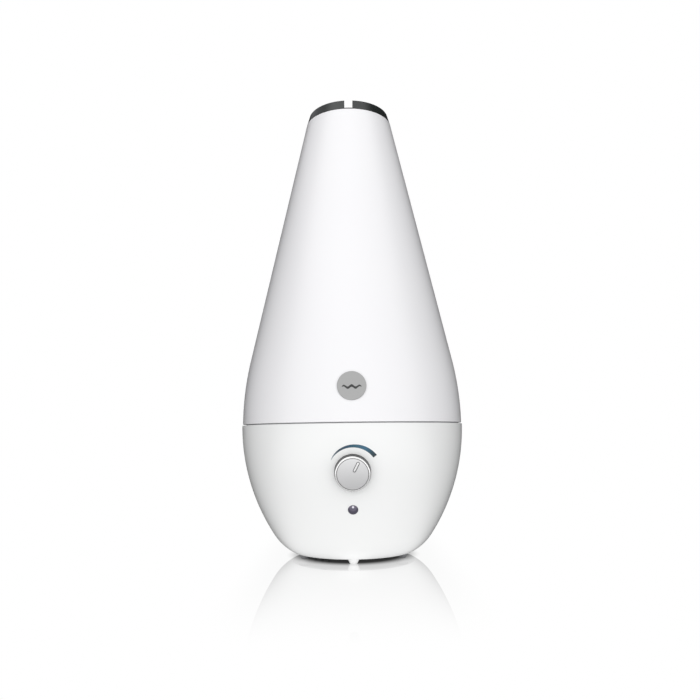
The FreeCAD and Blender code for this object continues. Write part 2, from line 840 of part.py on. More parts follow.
def driver_board():
    """The circuit board with what stands on it."""
    top = "(board_foot + board_thick)"
    board = block("board_long", "board_wide", "board_foot", top, "board_x")
    holes = [rod("small_screw + slip", "board_foot - overrun", f"{top} + overrun", x, y)
             for x, y in board_corners()]
    node("driver_board", less(board, *holes))
    screws = [screw("small_screw", "small_head", top, f"{top} + retainer_thick",
                    "board_foot - board_bite", x, y) for x, y in board_corners()]
    node("board_screws", group(*screws))

    core = block("core_long", "core_wide", top, f"{top} + core_tall", "core_x", "core_y")
    winding = block("winding_long", "winding_wide", f"{top} + winding_lift",
                    f"{top} + core_tall - winding_lift", "core_x", "core_y")
    node("transformer", joined(core, winding))
    node("capacitor", rod("can_radius", top, f"{top} + can_tall", "can_x", "can_y"))
    node("terminal_block", block("terminal_long", "terminal_wide", top, f"{top} + terminal_tall",
                                 "core_x", "terminal_y"))

    spine_rear = "(sink_y + spine_thick)"
    spine = block("sink_long", "spine_thick", top, f"{top} + sink_tall",
                  "sink_x", "sink_y + spine_thick / 2")
    first_fin = "(sink_x - (sink_long - fin_thick) / 2)"
    fin_step = f"((sink_long - fin_thick) / {FINS - 1})"
    fins = [block("fin_thick", "fin_deep", top, f"{top} + sink_tall",
                  f"{first_fin} + {number} * {fin_step}", f"{spine_rear} + fin_deep / 2")
            for number in range(FINS)]
    node("heat_sink", joined(spine, *fins))
    node("power_transistor", block("transistor_wide", "transistor_thick",
                                   f"{top} + winding_lift", f"{top} + transistor_tall",
                                   "sink_x", "sink_y - transistor_thick / 2"))


# ---- base: knob, lamp and gland -----------------------------------------------------------------

def potentiometer():
    """The turning regulator behind the knob, held to the wall by its nut."""
    pot_foot = "(pot_top - pot_deep)"
    shaft_way = "(shaft_radius + running)"
    node("potentiometer", turned([
        (shaft_way, "bushing_top"),
        (shaft_way, "shaft_foot - gap"),
        ("0", "shaft_foot - gap"),
        ("0", pot_foot),
        ("pot_radius", pot_foot),
        ("pot_radius", "pot_top"),
        ("bushing_radius", "pot_top"),
        ("bushing_radius", "bushing_top"),
    ], **KNOB_WALL))
    apothem = "nut_across / 2"
    corner_reach = f"({apothem} / cos(30))"
    hexagon = [(f"{corner_reach} * cos({60 * number})", f"{corner_reach} * sin({60 * number})")
               for number in range(6)]
    nut = extruded(hexagon, "nut_tall", **KNOB_WALL)
    bore = wall_rod("bushing_radius", "-overrun", "nut_tall + overrun", "knob_height", -1)
    node("potentiometer_nut", less(nut, bore))


def knob():
    """The knob: a hollow cap with a bevelled face, a hub on the shaft and a pointer let in."""
    face = "knob_proud"
    shoulder = "(knob_proud - knob_bevel)"
    roof = "(knob_proud - knob_skin)"
    hub_foot = "(bushing_top + gap)"
    cap = turned([
        ("0", roof),
        ("shaft_radius", roof),
        ("shaft_radius", hub_foot),
        ("knob_hub", hub_foot),
        ("knob_hub", roof),
        ("knob_radius - knob_skin", roof),
        ("knob_radius - knob_skin", "knob_lift"),
        ("knob_radius", "knob_lift"),
        ("knob_radius", shoulder),
        ("knob_radius - knob_break_in", "knob_proud - knob_break_down"),
        ("knob_face", face),
        ("0", face),
    ], **KNOB_WALL)
    slot = pointer_pill("pointer_wide / 2 + pointer_gap", f"{face} - pointer_deep", "pointer_deep + overrun")
    node("knob", less(cap, slot))
    node("knob_pointer", pointer_pill("pointer_wide / 2", f"{face} - pointer_deep",
                                      "pointer_deep - pointer_sunk"))
    node("knob_shaft", wall_rod("shaft_radius", "shaft_foot", roof, "knob_height", -1))


def pointer_pill(radius, foot, thick):
    """A bar with round ends in the knob's face, along the way that the knob points."""
    near = "(pointer_near + pointer_wide / 2)"
    far = "(pointer_far - pointer_wide / 2)"
    pill = extruded([
        (f"{radius}", near),
        (f"{radius}", far),
        (f"-({radius})", far),
        (f"-({radius})", near),
    ], thick, arcs={1: ("0", far, radius), 3: ("0", near, radius)})
    wall = Rotation(Vector(1, 0, 0), value(KNOB_WALL["turn"]))
    pointing = wall * Rotation(Vector(0, 0, 1), value("pointer_turn"))
    place(pill, on_wall("knob_height", -1, foot)["at"])
    pill.Placement = Placement(pill.Placement.Base, pointing)
    return pill


def status_lamp():
    """A domed lens pressed into the wall from inside, with its lamp and a small board."""
    lens_edge = "slip"
    sphere = "((lens_radius^2 + lens_dome^2) / (2 * lens_dome))"
    node("status_lens", turned([
        ("0", "lens_foot"),
        ("lens_flange", "lens_foot"),
        ("lens_flange", "lens_seat"),
        ("lens_radius", "lens_seat"),
        ("lens_radius", lens_edge),
        ("0", f"{lens_edge} + lens_dome"),
    ], {4: ("0", f"{lens_edge} + lens_dome - {sphere}", sphere)}, **LENS_WALL))
    lamp_foot = "(lens_foot - lamp_long)"
    node("status_lamp", wall_rod("lamp_radius", lamp_foot, "lens_foot", "lens_height", -1))
    half = "(lamp_board_side / 2)"
    square = [(f"-{half}", f"-{half}"), (half, f"-{half}"), (half, half), (f"-{half}", half)]
    board_foot = f"({lamp_foot} - board_thick)"
    node("lamp_board", extruded(square, "board_thick", **on_wall("lens_height", -1, board_foot)))


def cord_gland():
    """The grommet in the rear wall that a mains lead passes through."""
    ridge_top = "(-shell_wall - 2 * gap)"
    node("cord_gland", turned([
        ("gland_bore", "gland_foot"),
        ("gland_radius - gland_chamfer", "gland_foot"),
        ("gland_ridge", f"{ridge_top} - gland_ridge_long"),
        ("gland_ridge", ridge_top),
        ("gland_radius", ridge_top),
        ("gland_radius", "running"),
        ("gland_flange", "running"),
        ("gland_flange", "gland_proud - gland_chamfer"),
        ("gland_flange - gland_chamfer", "gland_proud"),
        ("gland_bore", "gland_proud"),
    ], **GLAND_WALL))


# ---- tank ---------------------------------------------------------------------------------------

def tank_shell():
    """The tall tapering tank wall, open below, with a shelf inside its neck."""
    shelf_foot = "(neck_shelf - tank_wall)"
    skin = [
        (tank(TANK_RIM), TANK_RIM),
        (TANK_BEND, TANK_BEND_HEIGHT),
        (NECK_RADIUS, "neck_height"),
        (cone("neck_height", "tank_wall"), "neck_height"),
        (cone("neck_shelf", "tank_wall"), "neck_shelf"),
        ("neck_shelf_bore", "neck_shelf"),
        ("neck_shelf_bore", shelf_foot),
        (cone(shelf_foot, "tank_wall"), shelf_foot),
        (f"{TANK_CENTRE} + (tank_radius - tank_wall) * cos(tank_taper)",
         "seam_height + (tank_radius - tank_wall) * sin(tank_taper)"),
        (tank(TANK_RIM, "tank_wall"), TANK_RIM),
    ]
    arcs = {
        0: (TANK_CENTRE, "seam_height", "tank_radius"),
        8: (TANK_CENTRE, "seam_height", "tank_radius - tank_wall"),
    }
    pocket = badge_disc("badge_radius + slip", "badge_thick + overrun")
    node("tank_shell", less(turned(skin, arcs), pocket))
    disc = badge_disc("badge_radius", "badge_thick")
    edge = document.addObject("Part::Chamfer", "Edge")
    edge.Base = disc
    rim = outermost_circle(disc)
    edge.Edges = [(rim, value("badge_edge"), value("badge_edge"))]
    node("badge", edge)


def outermost_circle(disc):
    """The number of a disc's edge that lies furthest towards the front."""
    document.recompute()
    circles = [(edge.CenterOfMass.y, number)
               for number, edge in enumerate(disc.Shape.Edges, start=1) if edge.isClosed()]
    return min(circles)[1]


def badge_disc(radius, thick):
    """A disc let into the tank's front, square to its wall."""
    lean = "asin((badge_height - seam_height) / tank_radius)"
    depth = "(badge_proud - badge_thick)"
    at = ("0",
          f"-({tank('badge_height')} + {depth} * cos({lean}))",
          f"badge_height + {depth} * sin({lean})")
    return solid("Cylinder", at=at, axis=Vector(1, 0, 0), turn=f"90 deg - {lean}",
                 Radius=radius, Height=thick)


def tank_floor():
    """The tank's floor: a mist skirt, two guide skirts, a filler neck and a tube socket."""
    top = "(floor_height + floor_thick)"
    skirts = []
    for bore, foot in (("skirt_bore", "skirt_foot"), ("guide_bore", "guide_foot"),
                       ("bearing_bore", "trough_rim + slip")):
        skirts += [(bore, "floor_height"), (bore, foot)]
        skirts += [(f"{bore} + skirt_wall", foot), (f"{bore} + skirt_wall", "floor_height")]
    plate = turned([
        ("mist_bore", "floor_height"),
        *skirts,
        ("floor_radius", "floor_height"),
        ("floor_radius", top),
        ("mist_bore + 2 * mist_wall + slip", top),
        ("mist_bore + 2 * mist_wall + slip", f"{top} + socket_tall"),
        ("mist_bore + mist_wall + slip", f"{top} + socket_tall"),
        ("mist_bore + mist_wall + slip", top),
        ("mist_bore", top),
    ])
    neck = rod("filler_bore + skirt_wall", "filler_foot", "floor_height", "0", "filler_y")
    way = rod("filler_bore", "filler_foot - overrun", f"{top} + overrun", "0", "filler_y")
    node("tank_floor", less(joined(plate, neck), way))
    node("mist_tube", ring("mist_bore", "mist_bore + mist_wall", top, "mist_top"))


def filler_cap():
    """The screw cap with its seal, and the spring valve that lets water down."""
    at = ("0", "filler_y", "0")
    floor_top = "(cap_foot + cap_floor)"
    guide = "(stem_radius + running)"
    cup = turned([
        (guide, "cap_foot"),
        ("cap_radius - cap_edge", "cap_foot"),
        ("cap_radius", "cap_foot + cap_edge"),
        ("cap_radius", "cap_top"),
        ("cap_bore", "cap_top"),
        ("cap_bore", floor_top),
        (guide, floor_top),
    ], at=at)
    ribs = [rod("rib_radius", "cap_foot + 2 * cap_edge", "cap_top - cap_edge", x, y)
            for x, y in round_the_circle(GRIP_RIBS, "(cap_radius - rib_sunk)", 0, "0", "filler_y")]
    drips = [rod("drip_radius", "cap_foot - overrun", f"{floor_top} + overrun", x, y)
             for x, y in round_the_circle(DRIP_HOLES, "drip_circle", 0, "0", "filler_y")]
    node("tank_cap", less(joined(cup, *ribs), *drips))
    node("cap_seal", ring("filler_bore - seal_overlap", "filler_bore + skirt_wall", floor_top,
                          "filler_foot - slip", "0", "filler_y"))

    foot = "(valve_post_top + slip)"
    foot_top = f"({foot} + stem_foot_thick)"
    valve_top = "(valve_height + valve_thick)"
    node("valve_stem", turned([
        ("0", foot),
        ("stem_foot_radius", foot),
        ("stem_foot_radius", foot_top),
        ("stem_radius", foot_top),
        ("stem_radius", valve_top),
        ("valve_flange", valve_top),
        ("valve_flange", f"{valve_top} + stem_foot_thick"),
        ("stem_radius", "stem_top"),
        ("0", "stem_top"),
    ], at=at))
    node("valve_seal", ring("stem_radius", "valve_radius", "valve_height", valve_top,
                            "0", "filler_y"))
    node("valve_spring", coil_spring(foot_top, "cap_foot", at))


def coil_spring(foot, top, at):
    """Round wire wound between the stem's foot and the cap, in short flat facets."""
    radius = value("spring_radius")
    wire = value("spring_wire")
    start = value(foot) + wire
    rise = value(top) - start - wire
    spans = SPRING_SPANS * SPRING_TURNS
    rings = []
    for span in range(spans + 1):
        turn = Rotation(Vector(0, 0, 1), 360 * span / SPRING_SPANS)
        rings.append([turn * Vector(radius + wire * math.cos(side * math.tau / WIRE_SIDES), 0,
                                    wire * math.sin(side * math.tau / WIRE_SIDES))
                      + Vector(0, 0, start + rise * span / spans)
                      for side in range(WIRE_SIDES)])
    facets = [rings[0], rings[-1]]
    for lower, upper in zip(rings, rings[1:]):
        for side in range(WIRE_SIDES):
            following = (side + 1) % WIRE_SIDES
            facets.append([lower[side], lower[following], upper[following]])
            facets.append([lower[side], upper[following], upper[side]])
    faces = [Part.Face(Part.makePolygon([*facet, facet[0]])) for facet in facets]
    spring = document.addObject("Part::Feature", "Spring")
    spring.Shape = Part.Solid(Part.Shell(faces))
    return place(spring, at)


# ---- nozzle -------------------------------------------------------------------------------------

def nozzle_collar():
    """The insert in the neck that the mist tube opens into, with its seal."""
    inner = "(collar_radius - collar_wall)"
    floor_top = "(collar_foot + collar_wall)"
    lip = "(collar_lip + collar_wall)"
    node("nozzle_collar", turned([
        ("collar_lip", "collar_foot"),
        ("collar_radius", "collar_foot"),
        ("collar_radius", "collar_top"),
        (inner, "collar_top"),
        (inner, floor_top),
        (lip, floor_top),
        (lip, "collar_lip_top"),
        ("collar_lip", "collar_lip_top"),
    ]))
    node("collar_seal", ring("neck_shelf_bore + seal_ease", "collar_radius - seal_ease", "neck_shelf + slip",
                             "collar_foot"))


def nozzle_cap():
    """The dark turning cap: a channel runs right across it, over the mist outlet."""
    rounding = "nozzle_round"
    outside = turned([
        ("0", "nozzle_foot"),
        ("nozzle_foot_radius", "nozzle_foot"),
        ("nozzle_top_radius", f"nozzle_top - {rounding}"),
        (f"nozzle_top_radius - {rounding}", "nozzle_top"),
        ("0", "nozzle_crown"),
    ], {2: (f"nozzle_top_radius - {rounding}", f"nozzle_top - {rounding}", rounding)})
    inside = turned([
        ("0", "nozzle_foot - overrun"),
        ("nozzle_bore", "nozzle_foot - overrun"),
        ("nozzle_bore", "nozzle_top - nozzle_wall - nozzle_round"),
        ("nozzle_bore - nozzle_round", "nozzle_top - nozzle_wall"),
        ("0", "nozzle_top - nozzle_wall"),
    ])
    side_walls = document.addObject("Part::MultiCommon", "Walls")
    side_walls.Shapes = [outside, block("channel_wide + 2 * nozzle_wall", "2 * nozzle_top_radius",
                                        "nozzle_foot", "nozzle_crown")]
    spigot = ring("spigot_radius - nozzle_wall", "spigot_radius", "spigot_foot",
                  "nozzle_foot + overrun")
    channel = block("channel_wide", "3 * nozzle_foot_radius", "channel_floor",
                    "nozzle_crown + overrun")
    outlet = block("outlet_wide", "outlet_long", "nozzle_foot - overrun", "channel_floor + overrun")
    whole = joined(less(outside, inside), side_walls, spigot)
    node("nozzle_cap", less(whole, channel, outlet))




base_shell()
bottom_cover()
feet()
water_trough()
mist_maker()
float_switch()
fan_body()
impeller()
air_duct()
driver_board()
potentiometer()
knob()
status_lamp()
cord_gland()
tank_shell()
tank_floor()
filler_cap()
nozzle_collar()
nozzle_cap()
document.recompute()

faults = [piece.Label for piece in document.Objects
          if {"Invalid", "Error"} & set(piece.State)]
faults += [label for label, piece in NODES.items()
           if piece.Shape.isNull() or not piece.Shape.isValid() or not piece.Shape.Solids]
if faults:
    raise SystemExit(f"these objects failed: {faults}")

os.makedirs("parts", exist_ok=True)
for label, piece in NODES.items():
    piece.Shape.exportStep(f"parts/{label}.step")
    print(f"{label}: {len(piece.Shape.Solids)} solid(s), {piece.Shape.Volume / 1000:.2f} cm3")
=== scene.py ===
# %% [markdown]
# # A cool mist humidifier, dressed for its portrait
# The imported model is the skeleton: every piece made here sits on it and moves with one of its
# bodies. This lesson makes the white moulded shells, the silver knob, the printed scale, the
# smoked nozzle cap and all their finishes, and then lights them on a white sweep.

# %% Load the frame and keep its size
import json
import math

import bmesh
import bpy
from mathutils import Matrix, Quaternion, Vector
from mathutils.bvhtree import BVHTree

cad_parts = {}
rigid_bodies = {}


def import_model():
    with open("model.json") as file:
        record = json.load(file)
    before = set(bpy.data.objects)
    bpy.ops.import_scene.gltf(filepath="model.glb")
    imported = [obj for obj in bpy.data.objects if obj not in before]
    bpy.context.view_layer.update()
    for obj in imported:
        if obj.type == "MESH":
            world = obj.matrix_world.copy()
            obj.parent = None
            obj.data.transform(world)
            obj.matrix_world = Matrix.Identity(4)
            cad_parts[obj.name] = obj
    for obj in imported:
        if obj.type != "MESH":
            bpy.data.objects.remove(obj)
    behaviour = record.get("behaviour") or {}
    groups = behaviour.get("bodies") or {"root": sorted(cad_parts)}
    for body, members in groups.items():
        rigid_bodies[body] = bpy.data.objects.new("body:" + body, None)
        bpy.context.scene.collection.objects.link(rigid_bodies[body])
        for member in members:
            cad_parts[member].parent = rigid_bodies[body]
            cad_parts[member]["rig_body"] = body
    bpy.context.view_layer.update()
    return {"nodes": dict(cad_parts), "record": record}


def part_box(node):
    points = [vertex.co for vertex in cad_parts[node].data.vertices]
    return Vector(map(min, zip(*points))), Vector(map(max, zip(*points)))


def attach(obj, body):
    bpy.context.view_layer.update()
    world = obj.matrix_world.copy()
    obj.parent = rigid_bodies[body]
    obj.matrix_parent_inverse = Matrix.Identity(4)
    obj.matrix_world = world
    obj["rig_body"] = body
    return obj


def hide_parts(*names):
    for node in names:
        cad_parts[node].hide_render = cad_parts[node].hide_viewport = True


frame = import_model()
MM = 0.001

# %% [markdown]
# ## The camera comes first
# The object is seen from a low tripod, close by: the lens is just above the knob and tips up a
# little to take in the top. A close camera makes the base look wide and the neck slim, so its
# distance matters as much as its angle. A slight roll leans the object by less than a degree.

# %% Camera
CAMERA_BACK = 0.620
CAMERA_HEIGHT = 0.1059
TIP_UP = math.radians(7.25)
ROLL = math.radians(-0.66)
SWING = math.radians(0.103)
LENS = 34.33

camera_data = bpy.data.cameras.new("portrait_lens")
camera_data.lens = LENS
camera_data.sensor_width = 36.0
camera_data.clip_start = 0.01
camera = bpy.data.objects.new("portrait_camera", camera_data)
bpy.context.scene.collection.objects.link(camera)
look_up = Quaternion((1, 0, 0), math.radians(90) + TIP_UP)
camera.rotation_mode = "QUATERNION"
camera.rotation_quaternion = (Quaternion((0, 0, 1), SWING) @ look_up
                              @ Quaternion((0, 0, 1), ROLL))
camera.location = (0, -CAMERA_BACK, CAMERA_HEIGHT)
bpy.context.scene.camera = camera
bpy.context.scene.view_settings.view_transform = "Standard"
print("camera at", tuple(camera.location), "lens", LENS)

# %% [markdown]
# ## Writing shader nodes as sums
# A node tree is a formula drawn as boxes. A small wrapper round a socket lets Python's own
# operators draw the boxes: `1 - mask` adds one Math node. Anything that isn't arithmetic comes
# from one method, which sets a node's settings first and its sockets after.

# %% Socket wrapper and node maker
class Wire:
    """An output socket that can be added to, multiplied and so on."""

    def __init__(self, tree, socket):
        self.tree = tree
        self.socket = socket

    def _math(self, operation, *terms):
        return self.tree.node("ShaderNodeMath", {"operation": operation},
                              dict(enumerate(terms)))

    def __add__(self, other):
        return self._math("ADD", self, other)

    __radd__ = __add__

    def __sub__(self, other):
        return self._math("SUBTRACT", self, other)

    def __rsub__(self, other):
        return self._math("SUBTRACT", other, self)

    def __mul__(self, other):
        return self._math("MULTIPLY", self, other)

    __rmul__ = __mul__

    def __truediv__(self, other):
        return self._math("DIVIDE", self, other)

    def __rtruediv__(self, other):
        return self._math("DIVIDE", other, self)

    def __pow__(self, other):
        return self._math("POWER", self, other)

    def __abs__(self):
        return self._math("ABSOLUTE", self)

    def between(self, start, stop):
        """0 before start, 1 after stop, and smooth on the way."""
        return self.tree.node("ShaderNodeMapRange", {"interpolation_type": "SMOOTHSTEP"},
                              {"Value": self, "From Min": start, "From Max": stop})


class Tree:
    """A node tree of a material or of the world."""

    def __init__(self, owner):
        owner.use_nodes = True
        self.tree = owner.node_tree
        self.tree.nodes.clear()

    def node(self, kind, settings=None, inputs=None, output=0):
        made = self.tree.nodes.new(kind)
        for name, setting in (settings or {}).items():
            if name == "stops":
                ramp = made.color_ramp
                while len(ramp.elements) < len(setting):
                    ramp.elements.new(0.5)
                for element, (place, colour) in zip(ramp.elements, setting):
                    element.position = place
                    element.color = (*colour, 1)
            else:
                setattr(made, name, setting)
        for name, given in (inputs or {}).items():
            if isinstance(given, Wire):
                self.tree.links.new(given.socket, made.inputs[name])
            elif isinstance(given, tuple) and len(given) == 3 and made.inputs[name].type == "RGBA":
                made.inputs[name].default_value = (*given, 1)
            else:
                made.inputs[name].default_value = given
        return Wire(self, made.outputs[output]) if made.outputs else None

    def place(self):
        """Where a point of the piece is, in metres, at rest."""
        return self.node("ShaderNodeTexCoord", output="Object")

    def axes(self, place):
        return [self.node("ShaderNodeSeparateXYZ", inputs={0: place}, output=axis)
                for axis in "XYZ"]

    def noise(self, scale, detail=2.0, rough=0.5):
        """Cloudy values about 0.5; scale is how many blotches fit in a metre."""
        return self.node("ShaderNodeTexNoise", {"noise_dimensions": "3D"},
                         {"Vector": self.place(), "Scale": scale, "Detail": detail,
                          "Roughness": rough}, output="Fac")

    def blend(self, share, first, second):
        """One colour turning into another."""
        return self.node("ShaderNodeMix", {"data_type": "RGBA"},
                         {"Factor": share, 6: colour4(first), 7: colour4(second)}, output=2)

    def bump(self, height, depth):
        """A surface that rises by height times depth, in metres."""
        return self.node("ShaderNodeBump", inputs={"Height": height, "Distance": depth,
                                                   "Strength": 1.0}, output="Normal")


def colour4(colour):
    return colour if isinstance(colour, Wire) else (*colour, 1)


def finish(name, uniform=None, varied=None, colour=(0.8, 0.8, 0.8)):
    """A material with one Principled surface.

    uniform holds what is the same all over, and varied is a function that is given the tree
    and returns the sockets that change over the surface.
    """
    material = bpy.data.materials.new(name)
    tree = Tree(material)
    sockets = dict(uniform or {})
    sockets["Base Color"] = colour
    if varied:
        sockets.update(varied(tree))
    surface = tree.node("ShaderNodeBsdfPrincipled", inputs=sockets)
    tree.node("ShaderNodeOutputMaterial", inputs={"Surface": surface})
    return material


print("node maker ready")

# %% [markdown]
# ## White moulded plastic
# The shells are glossy ABS. Up close the gloss isn't a mirror: the steel mould leaves a very
# faint orange peel, and handling leaves patches that shine a little less. Both are noise, one
# feeding the bump in microns and one feeding the roughness. The colour hardly moves at all.

# %% White finishes
PEEL = 0.000004
GRAIN = 0.000012
TIDE_MARK = 104.0


def shell_skin(tree):
    patches = tree.noise(14.0, detail=3.0)
    peel = tree.noise(900.0, detail=1.0)
    return {
        "Base Color": tree.blend(patches, (0.900, 0.895, 0.918), (0.920, 0.917, 0.930)),
        "Roughness": 0.17 + patches * 0.08,
        "Normal": tree.bump(peel, PEEL),
    }


def bowl_skin(tree):
    patches = tree.noise(16.0, detail=3.0)
    peel = tree.noise(900.0, detail=1.0)
    return {
        "Base Color": tree.blend(patches, (0.895, 0.903, 0.900), (0.918, 0.922, 0.920)),
        "Roughness": 0.19 + patches * 0.08,
        "Normal": tree.bump(peel, PEEL),
    }


def inner_skin(tree):
    grain = tree.noise(2600.0, detail=2.0)
    patches = tree.noise(20.0, detail=2.0)
    return {
        "Base Color": tree.blend(patches, (0.80, 0.81, 0.82), (0.86, 0.87, 0.87)),
        "Roughness": 0.42 + patches * 0.12,
        "Normal": tree.bump(grain, GRAIN),
    }


def trough_skin(tree):
    """Satin white that has held water: faint pale rings of scale up the walls."""
    height = tree.axes(tree.place())[2]
    drift = tree.noise(60.0, detail=3.0)
    tide = height / MM + drift * 2.0
    mark = abs(tide - TIDE_MARK).between(1.6, 0.2)
    return {
        "Base Color": tree.blend(mark * drift, (0.83, 0.85, 0.86), (0.92, 0.91, 0.88)),
        "Roughness": 0.24 + drift * 0.16,
        "Normal": tree.bump(drift, GRAIN),
    }


tank_white = finish("tank_white", {"IOR": 1.5, "Coat Weight": 0.25, "Coat Roughness": 0.06},
                    shell_skin)
bowl_white = finish("bowl_white", {"IOR": 1.5, "Coat Weight": 0.25, "Coat Roughness": 0.07},
                    bowl_skin)
inner_white = finish("inner_white", {"IOR": 1.48}, inner_skin)
trough_white = finish("trough_white", {"IOR": 1.5}, trough_skin)
print("white finishes:", [m.name for m in (tank_white, bowl_white, inner_white, trough_white)])

# %% [markdown]
# ## Metal, rubber, smoke and print
# The knob is plastic sprayed silver, so its flakes blur the reflection; the badge is a thin
# anodised disc; the nozzle cap is smoked and lacquered, dark with a hint of green. Rubber is
# the dull one. Each gets its own grain at its own scale.

# %% Accent finishes
joint_of = {joint["name"]: joint for joint in frame["record"]["behaviour"]["joints"]}
KNOB_CENTRE = Vector(joint_of["knob_turn"]["pos_m"])
KNOB_OUT = -Vector(joint_of["knob_turn"]["axis"])
FLAKE = 0.000003
SCRATCH = 0.000008
RUBBER_GRAIN = 0.00002
TRACK = 0.00003
GLINT_RISE = 0.9 * MM

# How far from the knob's axis each finish begins and ends, in millimetres; the side's near black
# is a painted dark reflection and the crease's dark ring is painted shade.
BEVEL_FROM = (12.35, 12.60)
PAINTED_DARK_SIDE_FROM = (13.80, 14.05)
CREASE_FROM = (11.95, 12.10)
CREASE_TO = (12.45, 12.55)


def off_axis(tree, centre, outward):
    """How far a point is from a piece's own axis, in millimetres."""
    offset = tree.node("ShaderNodeVectorMath", {"operation": "SUBTRACT"},
                       {0: tree.place(), 1: tuple(centre)})
    across = tree.node("ShaderNodeVectorMath", {"operation": "CROSS_PRODUCT"},
                       {0: offset, 1: tuple(outward)})
    return tree.node("ShaderNodeVectorMath", {"operation": "LENGTH"}, {0: across},
                     output="Value") / MM


def silver_spray(tree):
    """Satin on the face and bright metal on the bevel, with painted shade in the crease and a
    painted dark reflection making the side near black.
    """
    flake = tree.noise(5200.0, detail=1.0)
    cloud = tree.noise(60.0, detail=2.0)
    away = off_axis(tree, KNOB_CENTRE, KNOB_OUT)
    polished = away.between(*BEVEL_FROM)
    # painted dark reflection: the knob's side is coloured near black
    side = away.between(*PAINTED_DARK_SIDE_FROM)
    # painted shade: the shallow crease round the face is coloured dark
    crease = away.between(*CREASE_FROM) * (1 - away.between(*CREASE_TO))
    satin = tree.blend(flake, (0.70, 0.70, 0.71), (0.80, 0.80, 0.805))
    bright = tree.blend(polished, satin, (0.95, 0.95, 0.95))
    painted_crease_shade = tree.blend(crease * 0.85, bright, (0.10, 0.10, 0.10))
    return {
        "Base Color": tree.blend(side, painted_crease_shade, (0.010, 0.010, 0.011)),
        "Roughness": 0.30 + cloud * 0.10 - polished * 0.16,
        "Normal": tree.bump(flake, FLAKE),
    }


def pointer_spray(tree):
    """The pointer's own coat, paler than the face round it."""
    flake = tree.noise(5200.0, detail=1.0)
    cloud = tree.noise(60.0, detail=2.0)
    return {
        "Base Color": tree.blend(flake, (0.86, 0.86, 0.865), (0.94, 0.94, 0.94)),
        "Roughness": 0.34 + cloud * 0.10,
        "Normal": tree.bump(flake, FLAKE),
    }


def smoked_lacquer(tree):
    cloud = tree.noise(45.0, detail=2.0)
    return {
        "Base Color": tree.blend(cloud, (0.018, 0.022, 0.021), (0.036, 0.042, 0.040)),
        "Roughness": 0.20 + cloud * 0.10,
    }


def anodised(tree):
    """Fine lines ground into the disc before it was dyed."""
    height = tree.axes(tree.place())[2]
    lines = tree.node("ShaderNodeTexNoise", {"noise_dimensions": "1D"},
                      {"W": height * 5000.0, "Detail": 1.0}, output="Fac")
    return {
        "Base Color": tree.blend(lines, (0.395, 0.395, 0.395), (0.440, 0.440, 0.440)),
        "Roughness": 0.38 + lines * 0.14,
        "Normal": tree.bump(lines, FLAKE),
    }


def soft_rubber(dark, light):
    def skin(tree):
        grain = tree.noise(1800.0, detail=3.0)
        bloom = tree.noise(90.0, detail=2.0)
        return {
            "Base Color": tree.blend(bloom, dark, light),
            "Roughness": 0.58 + bloom * 0.2,
            "Normal": tree.bump(grain, RUBBER_GRAIN),
        }
    return skin


def moulded_matte(dark, light, roughness=0.42):
    def skin(tree):
        grain = tree.noise(2400.0, detail=2.0)
        cloud = tree.noise(70.0, detail=2.0)
        return {
            "Base Color": tree.blend(cloud, dark, light),
            "Roughness": roughness + cloud * 0.12,
            "Normal": tree.bump(grain, GRAIN),
        }
    return skin


def turned_steel(tree):
    scratch = tree.noise(1400.0, detail=4.0, rough=0.7)
    cloud = tree.noise(120.0)
    return {
        "Base Color": tree.blend(scratch, (0.48, 0.49, 0.50), (0.66, 0.66, 0.67)),
        "Roughness": 0.24 + cloud * 0.2,
        "Normal": tree.bump(scratch, SCRATCH),
    }


def circuit_board(tree):
    """Green resist over copper tracks, which show as slightly raised, paler lines."""
    tracks = tree.node("ShaderNodeTexBrick", {"offset": 0.37},
                       {"Vector": tree.place(), "Scale": 160.0, "Mortar Size": 0.06,
                        "Color1": (0, 0, 0), "Color2": (0.1, 0.1, 0.1), "Mortar": (1, 1, 1)},
                       output="Fac")
    return {
        "Base Color": tree.blend(tracks, (0.018, 0.120, 0.050), (0.060, 0.240, 0.090)),
        "Roughness": 0.30 + tracks * 0.12,
        "Normal": tree.bump(tracks, TRACK),
    }


def smoked_lens(tree):
    """Grey-violet lens, darker towards its rim, with a painted highlight just above its middle."""
    offset = tree.node("ShaderNodeVectorMath", {"operation": "DISTANCE"},
                       {0: tree.place(), 1: tuple(glint_centre)}, output="Value") / MM
    # painted highlight: a pale spot in the lens's colour just above its middle
    painted_glint = offset.between(1.15, 0.50)
    rim = offset.between(2.4, 4.2)
    tone = tree.blend(rim, (0.130, 0.115, 0.165), (0.060, 0.054, 0.085))
    return {
        "Base Color": tree.blend(painted_glint, tone, (0.850, 0.840, 0.920)),
        "Roughness": 0.22 + painted_glint * 0.1,
    }


lens_low, lens_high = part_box("status_lens")
glint_centre = Vector((0, lens_low.y, (lens_low.z + lens_high.z) / 2 + GLINT_RISE))

